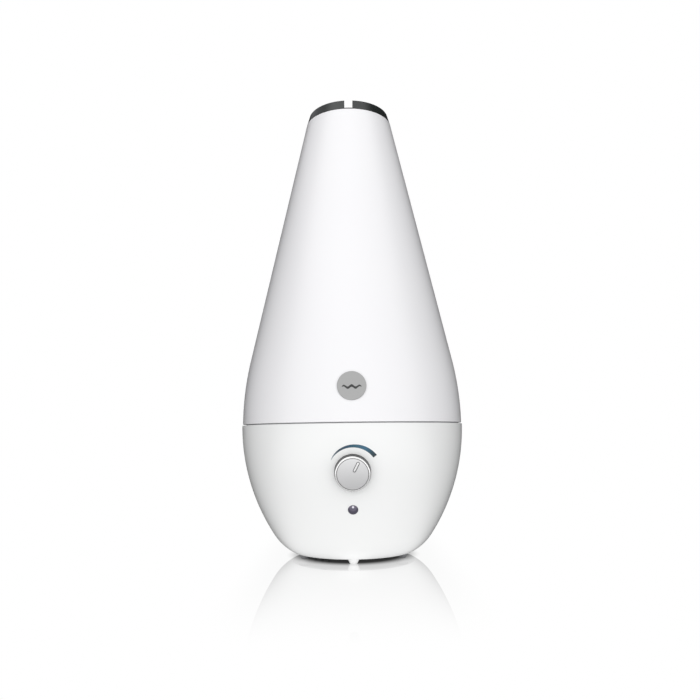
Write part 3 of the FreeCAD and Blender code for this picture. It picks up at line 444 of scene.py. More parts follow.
METAL = {"Metallic": 1.0}
GLOSS = {"Coat Weight": 0.6, "Coat Roughness": 0.05}
knob_silver = finish("knob_silver", {"Metallic": 0.9}, silver_spray)
smoke = finish("smoke", {"Metallic": 0.3, "Coat Weight": 0.5, "Coat Roughness": 0.1},
               smoked_lacquer)
badge_grey = finish("badge_grey", {"Metallic": 0.35}, anodised)
foot_rubber = finish("foot_rubber", None, soft_rubber((0.88, 0.88, 0.88), (0.94, 0.94, 0.94)))
seal_rubber = finish("seal_rubber", None, soft_rubber((0.55, 0.56, 0.57), (0.66, 0.67, 0.67)))
gland_rubber = finish("gland_rubber", None, soft_rubber((0.66, 0.67, 0.68), (0.76, 0.77, 0.77)))
steel = finish("steel", METAL, turned_steel)
lens_smoke = finish("lens_smoke", {"Coat Weight": 0.3, "Coat Roughness": 0.1}, smoked_lens)
cap_grey = finish("cap_grey", None, moulded_matte((0.42, 0.50, 0.55), (0.50, 0.57, 0.61), 0.34))
float_orange = finish("float_orange", None,
                      moulded_matte((0.62, 0.20, 0.06), (0.72, 0.27, 0.09), 0.3))
black_matte = finish("black_matte", None,
                     moulded_matte((0.012, 0.012, 0.014), (0.025, 0.025, 0.028), 0.38))
pale_matte = finish("pale_matte", None, moulded_matte((0.70, 0.71, 0.72), (0.78, 0.79, 0.80)))
iron = finish("iron", {"Metallic": 0.7}, moulded_matte((0.10, 0.10, 0.11), (0.17, 0.17, 0.18)))
terminal_green = finish("terminal_green", None,
                        moulded_matte((0.04, 0.26, 0.11), (0.06, 0.34, 0.15)))
board_green = finish("board_green", GLOSS, circuit_board)
clear_lamp = finish("clear_lamp", {"Coat Weight": 1.0},
                    moulded_matte((0.66, 0.64, 0.78), (0.78, 0.77, 0.86), 0.1))
print("accent finishes ready")

# %% [markdown]
# ## A finish for every piece of the frame
# The record says which material slot each CAD node takes, so one table from slot to finish
# dresses everything, inside and out. Pieces that are rebuilt below take the same finishes.

# %% Dress the CAD nodes
FINISHES = {
    "white_gloss": tank_white,
    "white_matte": inner_white,
    "trough_white": trough_white,
    "foot_rubber": foot_rubber,
    "smoke_gloss": smoke,
    "knob_silver": knob_silver,
    "pointer_light": pale_matte,
    "badge_grey": badge_grey,
    "lens_smoke": lens_smoke,
    "cap_blue_grey": cap_grey,
    "valve_white": pale_matte,
    "seal_rubber": seal_rubber,
    "gland_rubber": gland_rubber,
    "float_plastic": float_orange,
    "clip_plastic": pale_matte,
    "magnet": iron,
    "steel": steel,
    "disc_metal": steel,
    "black_plastic": black_matte,
    "duct_plastic": pale_matte,
    "board_green": board_green,
    "terminal_green": terminal_green,
    "heat_sink": steel,
    "pot_body": black_matte,
    "lamp_clear": clear_lamp,
    "reed_glass": clear_lamp,
}
slot_of = {part["node"]: part["material_slot"] for part in frame["record"]["subparts"]}


def dress(piece, material):
    piece.data.materials.clear()
    piece.data.materials.append(material)


for name, piece in frame["nodes"].items():
    dress(piece, FINISHES[slot_of[name]])
print(len(slot_of), "nodes dressed")

# %% [markdown]
# ## Turning and moulding
# Two ways of making a piece. `lathe` spins an outline round an axis, which is how round mould
# tools are cut. `moulded` takes a CAD solid's own shape, welds it and rounds every hard edge
# by a fraction of a millimetre: real plastic has no razor edges, and the small round is what
# catches the light. Weighted normals then keep the large faces beside the rounds looking flat.

# %% Mesh helpers
SMOOTH_ANGLE = math.radians(32)
HARD_ANGLE = math.radians(34)
FLAT_ANGLE = math.radians(0.4)
WELD = 2e-6


def arc(centre, radius, start, stop, steps):
    """Points in radius and height on an arc; angles in degrees from straight out."""
    angles = [math.radians(start + (stop - start) * step / steps) for step in range(steps + 1)]
    return [(centre[0] + radius * math.cos(a), centre[1] + radius * math.sin(a))
            for a in angles]


def softened(outline, radius, steps=4, sharpest=25):
    """A closed outline whose hard corners are rounded."""
    points = [Vector(point) for point in outline]
    rounded = []
    for number, here in enumerate(points):
        before = points[number - 1] - here
        after = points[(number + 1) % len(points)] - here
        turn = math.pi - before.angle(after)
        if math.degrees(turn) < sharpest:
            rounded.append(here)
            continue
        reach = min(radius * math.tan(turn / 2), before.length * 0.45, after.length * 0.45)
        start = here + before.normalized() * reach
        stop = here + after.normalized() * reach
        for step in range(steps + 1):
            share = step / steps
            rounded.append(start.lerp(here, share).lerp(here.lerp(stop, share), share))
    return rounded


def shade(mesh):
    """Smooth all over, but for the edges that turn sharply."""
    for face in mesh.polygons:
        face.use_smooth = True
    mesh.set_sharp_from_angle(angle=SMOOTH_ANGLE)


def add_piece(name, builder, body, material, replaces=()):
    """Turns a bmesh into a piece that rides on a body."""
    mesh = bpy.data.meshes.new(name)
    bmesh.ops.recalc_face_normals(builder, faces=builder.faces[:])
    builder.to_mesh(mesh)
    builder.free()
    shade(mesh)
    piece = bpy.data.objects.new(name, mesh)
    bpy.context.scene.collection.objects.link(piece)
    dress(piece, material)
    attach(piece, body)
    if replaces:
        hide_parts(*replaces)
    return piece


def lathe(outline, segments=192, stand=Matrix.Identity(4)):
    """Spins an outline of (radius, height) round +Z; stand puts it where it belongs."""
    builder = bmesh.new()
    on_axis = 1e-7
    rings = []
    for radius, height in outline:
        if radius < on_axis:
            rings.append([builder.verts.new(stand @ Vector((0, 0, height)))])
            continue
        rings.append([builder.verts.new(stand @ Vector((
            radius * math.cos(math.tau * step / segments),
            radius * math.sin(math.tau * step / segments), height)))
            for step in range(segments)])
    for number, ring in enumerate(rings):
        following = rings[(number + 1) % len(rings)]
        if len(ring) == 1 and len(following) == 1:
            continue
        for step in range(segments):
            beyond = (step + 1) % segments
            corners = [ring[step % len(ring)], ring[beyond % len(ring)],
                       following[beyond % len(following)], following[step % len(following)]]
            builder.faces.new(list(dict.fromkeys(corners)))
    return builder


def carve(piece, builder, operation="DIFFERENCE"):
    """Cuts a tool's shape out of a piece, or adds it on."""
    bmesh.ops.recalc_face_normals(builder, faces=builder.faces[:])
    mesh = bpy.data.meshes.new("tool")
    builder.to_mesh(mesh)
    builder.free()
    tool = bpy.data.objects.new("tool", mesh)
    bpy.context.scene.collection.objects.link(tool)
    cut = piece.modifiers.new("carve", "BOOLEAN")
    cut.operation = operation
    cut.solver = "EXACT"
    cut.object = tool
    settle(piece)
    shade(piece.data)
    bpy.data.objects.remove(tool)


def settle(piece):
    """Makes a piece's modifiers part of its mesh."""
    bpy.context.view_layer.update()
    seen = piece.evaluated_get(bpy.context.evaluated_depsgraph_get())
    mesh = bpy.data.meshes.new_from_object(seen)
    piece.modifiers.clear()
    old = piece.data
    piece.data = mesh
    bpy.data.meshes.remove(old)


def moulded(node, edge):
    """A CAD node's own shape, welded, with its hard edges rounded and its flat faces flat."""
    builder = bmesh.new()
    builder.from_mesh(frame["nodes"][node].data)
    bmesh.ops.remove_doubles(builder, verts=builder.verts[:], dist=WELD)
    bmesh.ops.dissolve_limit(builder, angle_limit=FLAT_ANGLE,
                             verts=builder.verts[:], edges=builder.edges[:])
    hard = [side for side in builder.edges
            if len(side.link_faces) == 2 and side.calc_face_angle(0) > HARD_ANGLE]
    bmesh.ops.bevel(builder, geom=hard, offset=edge, segments=2, profile=0.5,
                    affect="EDGES", clamp_overlap=True, offset_type="OFFSET")
    body = frame["nodes"][node]["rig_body"]
    piece = add_piece(f"{node}_moulded", builder, body,
                      FINISHES[slot_of[node]], (node,))
    flat = piece.modifiers.new("flat_faces", "WEIGHTED_NORMAL")
    flat.weight = 100
    flat.keep_sharp = True
    settle(piece)
    return piece


def stand_on(point, outward, up=Vector((0, 0, 1))):
    """A frame at a point whose +Z is outward and whose +Y is as near up as it can be."""
    z = Vector(outward).normalized()
    x = up.cross(z).normalized()
    y = z.cross(x)
    turn = Matrix((x, y, z)).transposed().to_4x4()
    return Matrix.Translation(point) @ turn


print("mesh helpers ready")

# %% [markdown]
# ## The outer form
# Base and tank are one teardrop cut at the seam, where the tank steps in by a hair. Its outline
# is three arcs and a straight line that run on in tangents: a tight corner at the foot, the long
# bowl, the lower tank and the straight cone up to the neck. The frame gives the seam, the neck
# and the height of the foot.

# %% The two shells
SEGMENTS = 256
WIDEST = 100.0 * MM
TANK_STEP = 0.6 * MM
BOWL_ARC = 174.5 * MM
CORNER_ARC = 43.9 * MM
BOWL_SWEEP = 33.7
TANK_ARC = 259.0 * MM
TANK_TAPER = 12.8
BASE_WALL = 2.5 * MM
TANK_WALL = 2.2 * MM
LIP = 0.45 * MM
SEAM_EASE = 0.15 * MM

base_low, base_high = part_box("base_shell")
tank_low, tank_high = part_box("tank_shell")
seam = (base_high.z + tank_low.z) / 2
tank_edge = WIDEST - TANK_STEP
bowl_centre = (WIDEST - BOWL_ARC, seam)
inward = BOWL_ARC - CORNER_ARC
corner_centre = (bowl_centre[0] + inward * math.cos(math.radians(BOWL_SWEEP)),
                 bowl_centre[1] - inward * math.sin(math.radians(BOWL_SWEEP)))
tank_centre = (tank_edge - TANK_ARC, seam)


def angle_at(centre, radius, height):
    return math.degrees(math.asin((height - centre[1]) / radius))


def bowl_side(inset, foot, rim):
    """The bowl's wall from foot to rim, or a surface inset from it."""
    corner = CORNER_ARC - inset
    bowl = BOWL_ARC - inset
    low = arc(corner_centre, corner, angle_at(corner_centre, corner, foot), -BOWL_SWEEP, 14)
    return low[:-1] + arc(bowl_centre, bowl, -BOWL_SWEEP,
                          angle_at(bowl_centre, bowl, rim), 40)


def tank_side(inset, foot, neck):
    """The tank's wall from foot to neck, or a surface inset from it."""
    radius = TANK_ARC - inset
    curve = arc(tank_centre, radius, angle_at(tank_centre, radius, foot), TANK_TAPER, 24)
    bend = Vector(curve[-1])
    slope = math.tan(math.radians(TANK_TAPER))
    steps = 24
    straight = [(bend.x - (neck - bend.y) * slope * step / steps,
                 bend.y + (neck - bend.y) * step / steps) for step in range(1, steps + 1)]
    return curve + straight


COVER_EASE = 0.3 * MM
cover_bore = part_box("bottom_cover")[1].x + COVER_EASE
COVER_THICK = 2.5 * MM
LEDGE = 2.5 * MM
LEDGE_BORE = 46.5 * MM
SHELF_BORE = 95.8 * MM
SKIRT = 0.6 * MM
SHELF_TOP = 112.0 * MM
ledge_top = base_low.z + COVER_THICK + LEDGE
inner_wall = bowl_side(BASE_WALL, ledge_top, base_high.z)
below_shelf = [point for point in inner_wall if point[1] < SHELF_TOP - LEDGE]
above_shelf = [point for point in inner_wall if point[1] > SHELF_TOP]
bowl_outline = softened(
    bowl_side(0, base_low.z - SKIRT, base_high.z)
    + above_shelf[::-1]
    + [(above_shelf[0][0], SHELF_TOP), (SHELF_BORE, SHELF_TOP),
       (SHELF_BORE, SHELF_TOP - LEDGE), (below_shelf[-1][0], SHELF_TOP - LEDGE)]
    + below_shelf[::-1]
    + [(LEDGE_BORE, ledge_top), (LEDGE_BORE, ledge_top - LEDGE),
       (cover_bore, ledge_top - LEDGE), (cover_bore, base_low.z - SKIRT)],
    LIP)
bowl = add_piece("bowl_shell", lathe(bowl_outline, SEGMENTS), "base", bowl_white,
                 ("base_shell",))

NECK_SHELF = 388.7 * MM
SHELF_REACH = 34.0 * MM
inside = tank_side(TANK_WALL, tank_low.z + SEAM_EASE, tank_high.z)
under_shelf = [point for point in inside if point[1] < NECK_SHELF - TANK_WALL]
over_shelf = [point for point in inside if point[1] > NECK_SHELF]
tank_outline = softened(
    tank_side(0, tank_low.z + SEAM_EASE, tank_high.z)
    + over_shelf[::-1]
    + [(over_shelf[0][0], NECK_SHELF), (SHELF_REACH, NECK_SHELF),
       (SHELF_REACH, NECK_SHELF - TANK_WALL), (under_shelf[-1][0], NECK_SHELF - TANK_WALL)]
    + under_shelf[::-1],
    LIP)
tank = add_piece("tank_wall", lathe(tank_outline, SEGMENTS), "tank", tank_white,
                 ("tank_shell",))
print("shells:", len(bowl.data.vertices), "and", len(tank.data.vertices), "points")

# %% [markdown]
# ## Holes and the badge's pocket
# The wall is pierced for the knob's bushing, the lens and the cord gland, and a shallow round
# pocket holds the badge. Cutting them for real leaves the hairline shadow round each insert
# that tells the eye it is a separate piece. Inside, bosses take the screws of the cover.

# %% Pierce the shells
def tilt_at(height):
    return math.asin((seam - height) / BOWL_ARC)


def on_bowl(height, side):
    """A frame on the bowl's outside at a height; side -1 is the front."""
    tilt = tilt_at(height)
    radius = bowl_centre[0] + BOWL_ARC * math.cos(tilt)
    return stand_on(Vector((0, side * radius, height)),
                    Vector((0, side * math.cos(tilt), -math.sin(tilt))))


def plug(radius, foot, top, stand, segments=64):
    return lathe([(0, foot), (radius, foot), (radius, top), (0, top)], segments, stand)


LENS_HEIGHT = 47.7 * MM
GLAND_HEIGHT = 42.0 * MM
BUSHING_HOLE = 3.6 * MM
LENS_HOLE = 4.06 * MM
GLAND_HOLE = 7.0 * MM
HOLE_FOOT = -8.0 * MM
HOLE_TOP = 5.0 * MM
knob_stand = on_bowl(KNOB_CENTRE.z, -1)
lens_stand = on_bowl(LENS_HEIGHT, -1)
gland_stand = on_bowl(GLAND_HEIGHT, 1)
for radius, stand in ((BUSHING_HOLE, knob_stand), (LENS_HOLE, lens_stand),
                      (GLAND_HOLE, gland_stand)):
    carve(bowl, plug(radius, HOLE_FOOT, HOLE_TOP, stand))

BADGE_HEIGHT = 144.3 * MM
BADGE_RADIUS = 11.5 * MM
BADGE_DEEP = 0.9 * MM
BADGE_EASE = 0.12 * MM
lean = math.asin((BADGE_HEIGHT - seam) / TANK_ARC)
badge_out = Vector((0, -math.cos(lean), math.sin(lean)))
badge_point = Vector((0, -(tank_centre[0] + TANK_ARC * math.cos(lean)), BADGE_HEIGHT))
badge_stand = stand_on(badge_point, badge_out)
carve(tank, plug(BADGE_RADIUS + BADGE_EASE, -BADGE_DEEP, HOLE_TOP, badge_stand, 96))
SCREW_ANGLES = (0, 120, 240)
BOSS_CIRCLE = 50.5 * MM
BOSS_RADIUS = 3.5 * MM
BOSS_SUNK = 1.5 * MM
BOSS_TOP = 18.0 * MM
BOSS_ROOF = 1.0 * MM
PILOT_RADIUS = 1.55 * MM
for angle in SCREW_ANGLES:
    turn = math.radians(angle)
    at = Matrix.Translation((BOSS_CIRCLE * math.cos(turn), BOSS_CIRCLE * math.sin(turn), 0))
    carve(bowl, plug(BOSS_RADIUS, ledge_top - BOSS_SUNK, BOSS_TOP, at, 48), "UNION")
    carve(bowl, plug(PILOT_RADIUS, base_low.z, BOSS_TOP - BOSS_ROOF, at, 32))
print("pierced; knob at", [round(v / MM, 1) for v in knob_stand.translation])

# %% [markdown]
# ## The knob
# A hollow silver cap with a broad bevel round a slightly crowned face. The bevel is what shows
# as a bright crescent at the top, where it turns up to the light. The side is coloured near black,
# a painted dark reflection, and the crease round the face is darkened with painted shade. The
# pointer is a pill-shaped insert let into the face, narrower than its slot; a black sheet on the
# slot's floor is painted shade, and it shows as a dark line round the pointer. A thin black ring
# behind the knob is painted shade for the gap there.

# %% Knob and pointer
KNOB_RADIUS = 14.2 * MM
KNOB_FACE = 12.6 * MM
KNOB_PROUD = 6.3 * MM
CROWN = 0.35 * MM
CREASE = 0.22 * MM
KNOB_LIFT = 0.6 * MM
KNOB_SKIN = 2.0 * MM
HUB = 5.0 * MM
SHAFT = 3.0 * MM
HUB_FOOT = 2.3 * MM
BEVEL_DEEP = 1.9 * MM
CREASE_EDGES = (0.12 * MM, 0.42 * MM, 0.55 * MM)
FACE_SUNK = 0.05 * MM
KNOB_ROUND = 0.12 * MM
shoulder = KNOB_PROUD - BEVEL_DEEP
roof = KNOB_PROUD - KNOB_SKIN
crease_out, crease_in, face_in = [KNOB_FACE - edge for edge in CREASE_EDGES]
face_steps = 16
face_curve = [(face_in * (1 - step / face_steps),
               KNOB_PROUD - FACE_SUNK + CROWN * (1 - (1 - step / face_steps) ** 2))
              for step in range(face_steps + 1)]
bevel_steps = 6
bevel_turns = [math.pi / 2 * step / bevel_steps for step in range(bevel_steps)]
bevel_curve = [(KNOB_FACE + (KNOB_RADIUS - KNOB_FACE) * math.cos(turn),
                shoulder + BEVEL_DEEP * math.sin(turn)) for turn in bevel_turns]
knob_outline = softened(
    [(0, roof), (SHAFT, roof), (SHAFT, HUB_FOOT), (HUB, HUB_FOOT), (HUB, roof),
     (KNOB_RADIUS - KNOB_SKIN, roof), (KNOB_RADIUS - KNOB_SKIN, KNOB_LIFT),
     (KNOB_RADIUS, KNOB_LIFT)] + bevel_curve
    + [(KNOB_FACE, KNOB_PROUD), (crease_out, KNOB_PROUD - CREASE),
       (crease_in, KNOB_PROUD - CREASE)] + face_curve, KNOB_ROUND, 3, 40)
knob_outline = [(max(point[0], 0), point[1]) for point in knob_outline]
knob = add_piece("knob_cap", lathe(knob_outline, 128, knob_stand), "control_knob",
                 knob_silver, ("knob",))

POINTING = math.radians(-26.5)
PILL_NEAR = 2.4 * MM
PILL_FAR = 10.2 * MM
PILL_WIDE = 1.5 * MM
PILL_GROOVE = 0.5 * MM
PILL_DEEP = 0.9 * MM
PILL_PROUD = 0.20 * MM
PILL_CROWN = 0.25 * MM
PILL_CLEAR = 1.0 * MM
SHADE_SHEET_EASE = 0.02 * MM
SHADE_SHEET_THICK = 0.25 * MM
CROWN_LENGTHWISE = 0.4


def pill(half_width, foot, top, crown=0.0):
    """A bar with round ends, standing on the knob's face along the way it points."""
    builder = bmesh.new()
    near = PILL_NEAR + PILL_WIDE / 2
    far = PILL_FAR - PILL_WIDE / 2
    turns = 12
    ends = [(far, 0), (near, math.pi)]
    rim = []
    for centre, first in ends:
        for step in range(turns + 1):
            angle = first + math.pi * step / turns
            rim.append((half_width * math.cos(angle), centre + half_width * math.sin(angle)))
    spin = Matrix.Rotation(POINTING, 4, "Z")
    inset = 1 - crown / half_width
    middle = (near + far) / 2
    layers = [(foot, 1.0), (top - crown, 1.0), (top, inset)]
    rings = []
    for height, share in layers:
        rings.append([builder.verts.new(knob_stand @ spin @ Vector(
            (x * share, middle + (y - middle) * (1 - (1 - share) * CROWN_LENGTHWISE), height)))
            for x, y in rim])
    for lower, upper in zip(rings, rings[1:]):
        for step in range(len(rim)):
            beyond = (step + 1) % len(rim)
            builder.faces.new([lower[step], lower[beyond], upper[beyond], upper[step]])
    builder.faces.new(rings[0])
    builder.faces.new(rings[-1])
    return builder


pointer_foot = KNOB_PROUD - PILL_DEEP
slot_half = PILL_WIDE / 2 + PILL_GROOVE
carve(knob, pill(slot_half, pointer_foot, KNOB_PROUD + PILL_CLEAR))
# painted shade: a black sheet on the slot's floor darkens the groove round the pointer
add_piece("pointer_slot_shade_sheet",
          pill(slot_half - SHADE_SHEET_EASE, pointer_foot + SHADE_SHEET_EASE / 2,
               pointer_foot + SHADE_SHEET_THICK), "control_knob", black_matte)
pointer_light = finish("pointer_light", {"Metallic": 0.3, "Coat Weight": 0.3}, pointer_spray)
add_piece("pointer_insert",
          pill(PILL_WIDE / 2, pointer_foot, KNOB_PROUD + PILL_PROUD, PILL_CROWN),
          "control_knob", pointer_light, ("knob_pointer",))

# painted shade: a thin black ring behind the knob stands in for the shadow in the gap round it
SHADOW_RING_RADIUS = 14.35 * MM
SHADOW_RING_BORE = 3.7 * MM
SHADOW_RING_FOOT = -0.1 * MM
SHADOW_RING_TOP = 0.35 * MM
SHADOW_RING_ROUND = 0.1 * MM
shadow_ring_outline = softened([(SHADOW_RING_BORE, SHADOW_RING_FOOT), (SHADOW_RING_RADIUS, SHADOW_RING_FOOT),
                           (SHADOW_RING_RADIUS, SHADOW_RING_TOP), (SHADOW_RING_BORE, SHADOW_RING_TOP)],
                          SHADOW_RING_ROUND)
add_piece("knob_shadow_ring", lathe(shadow_ring_outline, 128, knob_stand), "base", black_matte)
print("knob:", len(knob.data.vertices), "points")

# %% [markdown]
# ## The printed scale
# A crescent round the top of the knob, thin and pale at the low end, broad and dark at the
# high end. It is ink on a curved wall, so its outline is drawn on a flat plate at the knob and
# each point is dropped onto the wall by a ray. Ink is never thicker than a hair.

# %% Scale print
INK = 0.05 * MM
ABOVE = 20.0 * MM
SCALE_START = -61.0
SCALE_STOP = 56.0
INNER_START = 18.9 * MM
INNER_STOP = 19.5 * MM
INK_NARROW = 0.15 * MM
INK_BROAD = 3.35 * MM
INK_SWELL = 0.62
INK_ROWS = 4


def surface_finder(piece):
    depsgraph = bpy.context.evaluated_depsgraph_get()
    return BVHTree.FromObject(piece, depsgraph)


def dropped(finder, stand, x, y, proud):
    """The place on a surface under a point of a flat plate, lifted by proud."""
    outward = stand.to_3x3() @ Vector((0, 0, 1))
    start = stand @ Vector((x, y, ABOVE))
    hit, normal, _, _ = finder.ray_cast(start, -outward)
    return hit + (normal if normal.dot(outward) > 0 else -normal) * proud


def ink(name, columns, finder, stand, body, material):
    """A thin skin of ink from columns of points, each given on the flat plate."""
    builder = bmesh.new()
    layers = []
    for proud in (INK * 0.1, INK):
        layers.append([[builder.verts.new(dropped(finder, stand, x, y, proud))
                        for x, y in column] for column in columns])
    under, over = layers
    rows = len(columns[0])
    for column in range(len(columns) - 1):
        for row in range(rows - 1):
            for layer in (under, over):
                builder.faces.new([layer[column][row], layer[column][row + 1],
                                   layer[column + 1][row + 1], layer[column + 1][row]])
    border = ([(column, 0) for column in range(len(columns))]
              + [(len(columns) - 1, row) for row in range(1, rows)]
              + [(column, rows - 1) for column in range(len(columns) - 2, -1, -1)]
              + [(0, row) for row in range(rows - 2, 0, -1)])
    for (c0, r0), (c1, r1) in zip(border, border[1:] + border[:1]):
        builder.faces.new([under[c0][r0], under[c1][r1], over[c1][r1], over[c0][r0]])
    return add_piece(name, builder, body, material)


def scale_ink(tree):
    """Slate at the low end, petrol in the middle, near black at the high end."""
    offset = tree.node("ShaderNodeVectorMath", {"operation": "SUBTRACT"},
                       {0: tree.place(), 1: tuple(KNOB_CENTRE)})
    across, _, up = tree.axes(offset)
    turn = tree.node("ShaderNodeMath", {"operation": "ARCTAN2"}, {0: across, 1: up})
    start = math.radians(SCALE_START)
    share = (turn - start) / (math.radians(SCALE_STOP) - start)
    tone = tree.node("ShaderNodeValToRGB", {"stops": [
        (0.00, (0.42, 0.47, 0.51)),
        (0.12, (0.14, 0.18, 0.22)),
        (0.24, (0.035, 0.060, 0.085)),
        (0.44, (0.010, 0.058, 0.110)),
        (0.56, (0.020, 0.100, 0.150)),
        (0.78, (0.028, 0.125, 0.215)),
        (0.90, (0.008, 0.050, 0.080)),
        (1.00, (0.004, 0.018, 0.026)),
    ]}, {"Fac": share}, output="Color")
    grain = tree.noise(3000.0)
    return {"Base Color": tone, "Roughness": 0.35 + grain * 0.1}


print_petrol = finish("print_petrol", {"Coat Weight": 0.2}, scale_ink)
wall_finder = surface_finder(bowl)
scale_columns = []
scale_steps = 72
for step in range(scale_steps + 1):
    share = step / scale_steps
    angle = math.radians(SCALE_START + (SCALE_STOP - SCALE_START) * share)
    near = INNER_START + (INNER_STOP - INNER_START) * share
    far = near + INK_NARROW + (INK_BROAD - INK_NARROW) * share ** INK_SWELL
    radii = [near + (far - near) * row / INK_ROWS for row in range(INK_ROWS + 1)]
    scale_columns.append([(radius * math.sin(angle), radius * math.cos(angle))
                          for radius in radii])
scale = ink("scale_print", scale_columns, wall_finder, knob_stand, "base", print_petrol)
print("scale print:", len(scale.data.polygons), "faces")

# %% [markdown]
# ## Badge and its mark
# The badge is a grey anodised disc. Its mark here is a plain wave of water, which says what the
# machine works with and stands for nobody's name. The wave is a band whose ends taper to a
# point, printed as ink on the flat disc.

# %% Badge
BADGE_EDGE = 0.28 * MM
BADGE_MIDDLE = 0.30 * MM
BADGE_ROUND = 0.18 * MM
badge_outline = softened([(0, -BADGE_DEEP), (BADGE_RADIUS, -BADGE_DEEP),
                          (BADGE_RADIUS, BADGE_EDGE), (0, BADGE_MIDDLE)], BADGE_ROUND, 3, 40)
badge_outline = [(max(point[0], 0), point[1]) for point in badge_outline]
badge = add_piece("badge_disc", lathe(badge_outline, 128, badge_stand), "tank", badge_grey,
                  ("badge",))

WAVE_HALF = 7.8 * MM
WAVE_SWING = 0.85 * MM
WAVE_THICK = 2.1 * MM
WAVE_DROP = -0.9 * MM
WAVES = 2.5
WAVE_TIP = 0.04 * MM
WAVE_BLUNT = 0.4
mark_dark = finish("mark_dark", None, moulded_matte((0.03, 0.03, 0.03), (0.05, 0.05, 0.05)))
wave_columns = []
wave_steps = 90
for step in range(wave_steps + 1):
    share = step / wave_steps
    middle = WAVE_DROP + WAVE_SWING * math.sin(math.tau * WAVES * share)
    half = max(WAVE_THICK / 2 * math.sin(math.pi * share) ** WAVE_BLUNT, WAVE_TIP)
    across = WAVE_HALF * (2 * share - 1)
    wave_columns.append([(across, middle + half * level) for level in (-1, 0, 1)])
ink("badge_mark", wave_columns, surface_finder(badge), badge_stand, "tank", mark_dark)
print("badge and mark made")

# %% [markdown]
# ## The lens
# A small smoked dome over the status lamp, pushed in from inside. Nothing but a lathe is
# needed, with enough rings for its highlight to stay round.

# %% Lens
LENS_RADIUS = 4.0 * MM
LENS_DOME = 1.2 * MM
LENS_PROUD = 0.1 * MM
LENS_FOOT = -4.2 * MM
LENS_STEP = -3.0 * MM
LENS_FLANGE = 5.2 * MM
sphere = (LENS_RADIUS ** 2 + LENS_DOME ** 2) / (2 * LENS_DOME)
rise = math.degrees(math.asin(LENS_RADIUS / sphere))
dome = arc((0, LENS_PROUD + LENS_DOME - sphere), sphere, 90 - rise, 90, 12)
lens_outline = ([(0, LENS_FOOT), (LENS_FLANGE, LENS_FOOT), (LENS_FLANGE, LENS_STEP),
                 (LENS_RADIUS, LENS_STEP)] + dome[:-1] + [(0, dome[-1][1])])
add_piece("lens_dome", lathe(lens_outline, 96, lens_stand), "base", lens_smoke,
          ("status_lens",))
print("lens made")

# %% [markdown]
# ## Everything else that shows
# The nozzle cap, trough, tank floor, filler cap, gland, feet and cover are already the right
# shape in the frame. They only lack moulded edges. The front foot is as white as the bowl; the
# other five are the same rubber painted grey, a painted shade for where they sit under the base.

# %% Moulded pieces
EDGES = {
    "nozzle_cap": 0.35, "nozzle_collar": 0.3, "water_trough": 0.4, "tank_floor": 0.4,
    "tank_cap": 0.25, "cord_gland": 0.3, "bottom_cover": 0.25, "float_ring": 0.35,
    "valve_stem": 0.2, "mist_tube": 0.3, "float_clip": 0.15, "impeller": 0.15,
    "transducer_retainer": 0.15,
}
for number in range(1, 7):
    EDGES[f"foot_{number}"] = 0.3
# painted shade: a grey copy of the foot rubber for the five feet that sit in the base's shadow
foot_painted_shade = finish("foot_painted_shade", None, soft_rubber((0.17, 0.17, 0.18), (0.24, 0.24, 0.25)))
for node, edge in EDGES.items():
    piece = moulded(node, edge * MM)
    if node.startswith("foot_") and node != "foot_1":
        dress(piece, foot_painted_shade)
    print(node, len(piece.data.polygons), "faces")

# %% [markdown]
# ## A white sweep
# The floor and the backdrop are the same white. The camera sees the floor as a light of its
# own, so that no shadow greys it, and close to the object a part of it is a mirror, which is
# what sets the object down. Under the base, where hardly any light would reach, its glow is
# painted dark, a painted shadow, with a faint painted contact shade round it.
# What the floor gives back to the object is a separate light: bright in front and fading to the
# sides, like the soft wall of light that it continues, and a little dimmer near the foot in
# what shiny pieces see of it, which is what grades the knob's flat face.

# %% Floor
FLOOR_SIDE = 12.0
MIRROR_SHARE = 0.32
FLOOR_BOUNCE = 0.88
NEAR_BOUNCE = 0.10
UNDER_GLOW = 0.03
CONTACT_SHADE = 0.06
FOOT_LIT = 0.85
FOOT_BOUNCE = 0.30
GLOSS_DIM = 0.48
GLOSS_LIFT = 0.92
FLOOR_DROP = 0.02 * MM
FOOT_AHEAD = 0.5 * MM

# Where each part of the floor's light begins and ends, in metres from the middle, from the
# front foot or from the object's upright middle plane.
UNDER_EDGE = (0.043, 0.061)
BOUNCE_EDGE = (0.042, 0.062)
POOL_EDGE = (0.09, 0.20)
GLOSS_EDGE = (0.16, 0.40)
MIRROR_EDGE = (0.060, 0.280)
FOOT_SPOT = (0.009, 0.003)
FOOT_RANGE = (0.020, 0.005)
MIRROR_SIDES = (0.075, 0.130)
SHADE_SIDES = (0.060, 0.095)
front_foot = Vector((0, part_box("foot_1")[0].y - FOOT_AHEAD, 0))
floor_builder = bmesh.new()
bmesh.ops.create_grid(floor_builder, x_segments=1, y_segments=1, size=FLOOR_SIDE / 2)
floor_mesh = bpy.data.meshes.new("floor")
floor_builder.to_mesh(floor_mesh)
floor_builder.free()
floor = bpy.data.objects.new("floor", floor_mesh)
floor.location.z = -FLOOR_DROP
bpy.context.scene.collection.objects.link(floor)

floor_white = bpy.data.materials.new("floor_white")
tree = Tree(floor_white)
x, y, _ = tree.axes(tree.place())
reach = (x * x + y * y + 0.000001) ** 0.5
to_foot = tree.node("ShaderNodeVectorMath", {"operation": "DISTANCE"},
                    {0: tree.place(), 1: tuple(front_foot)}, output="Value")
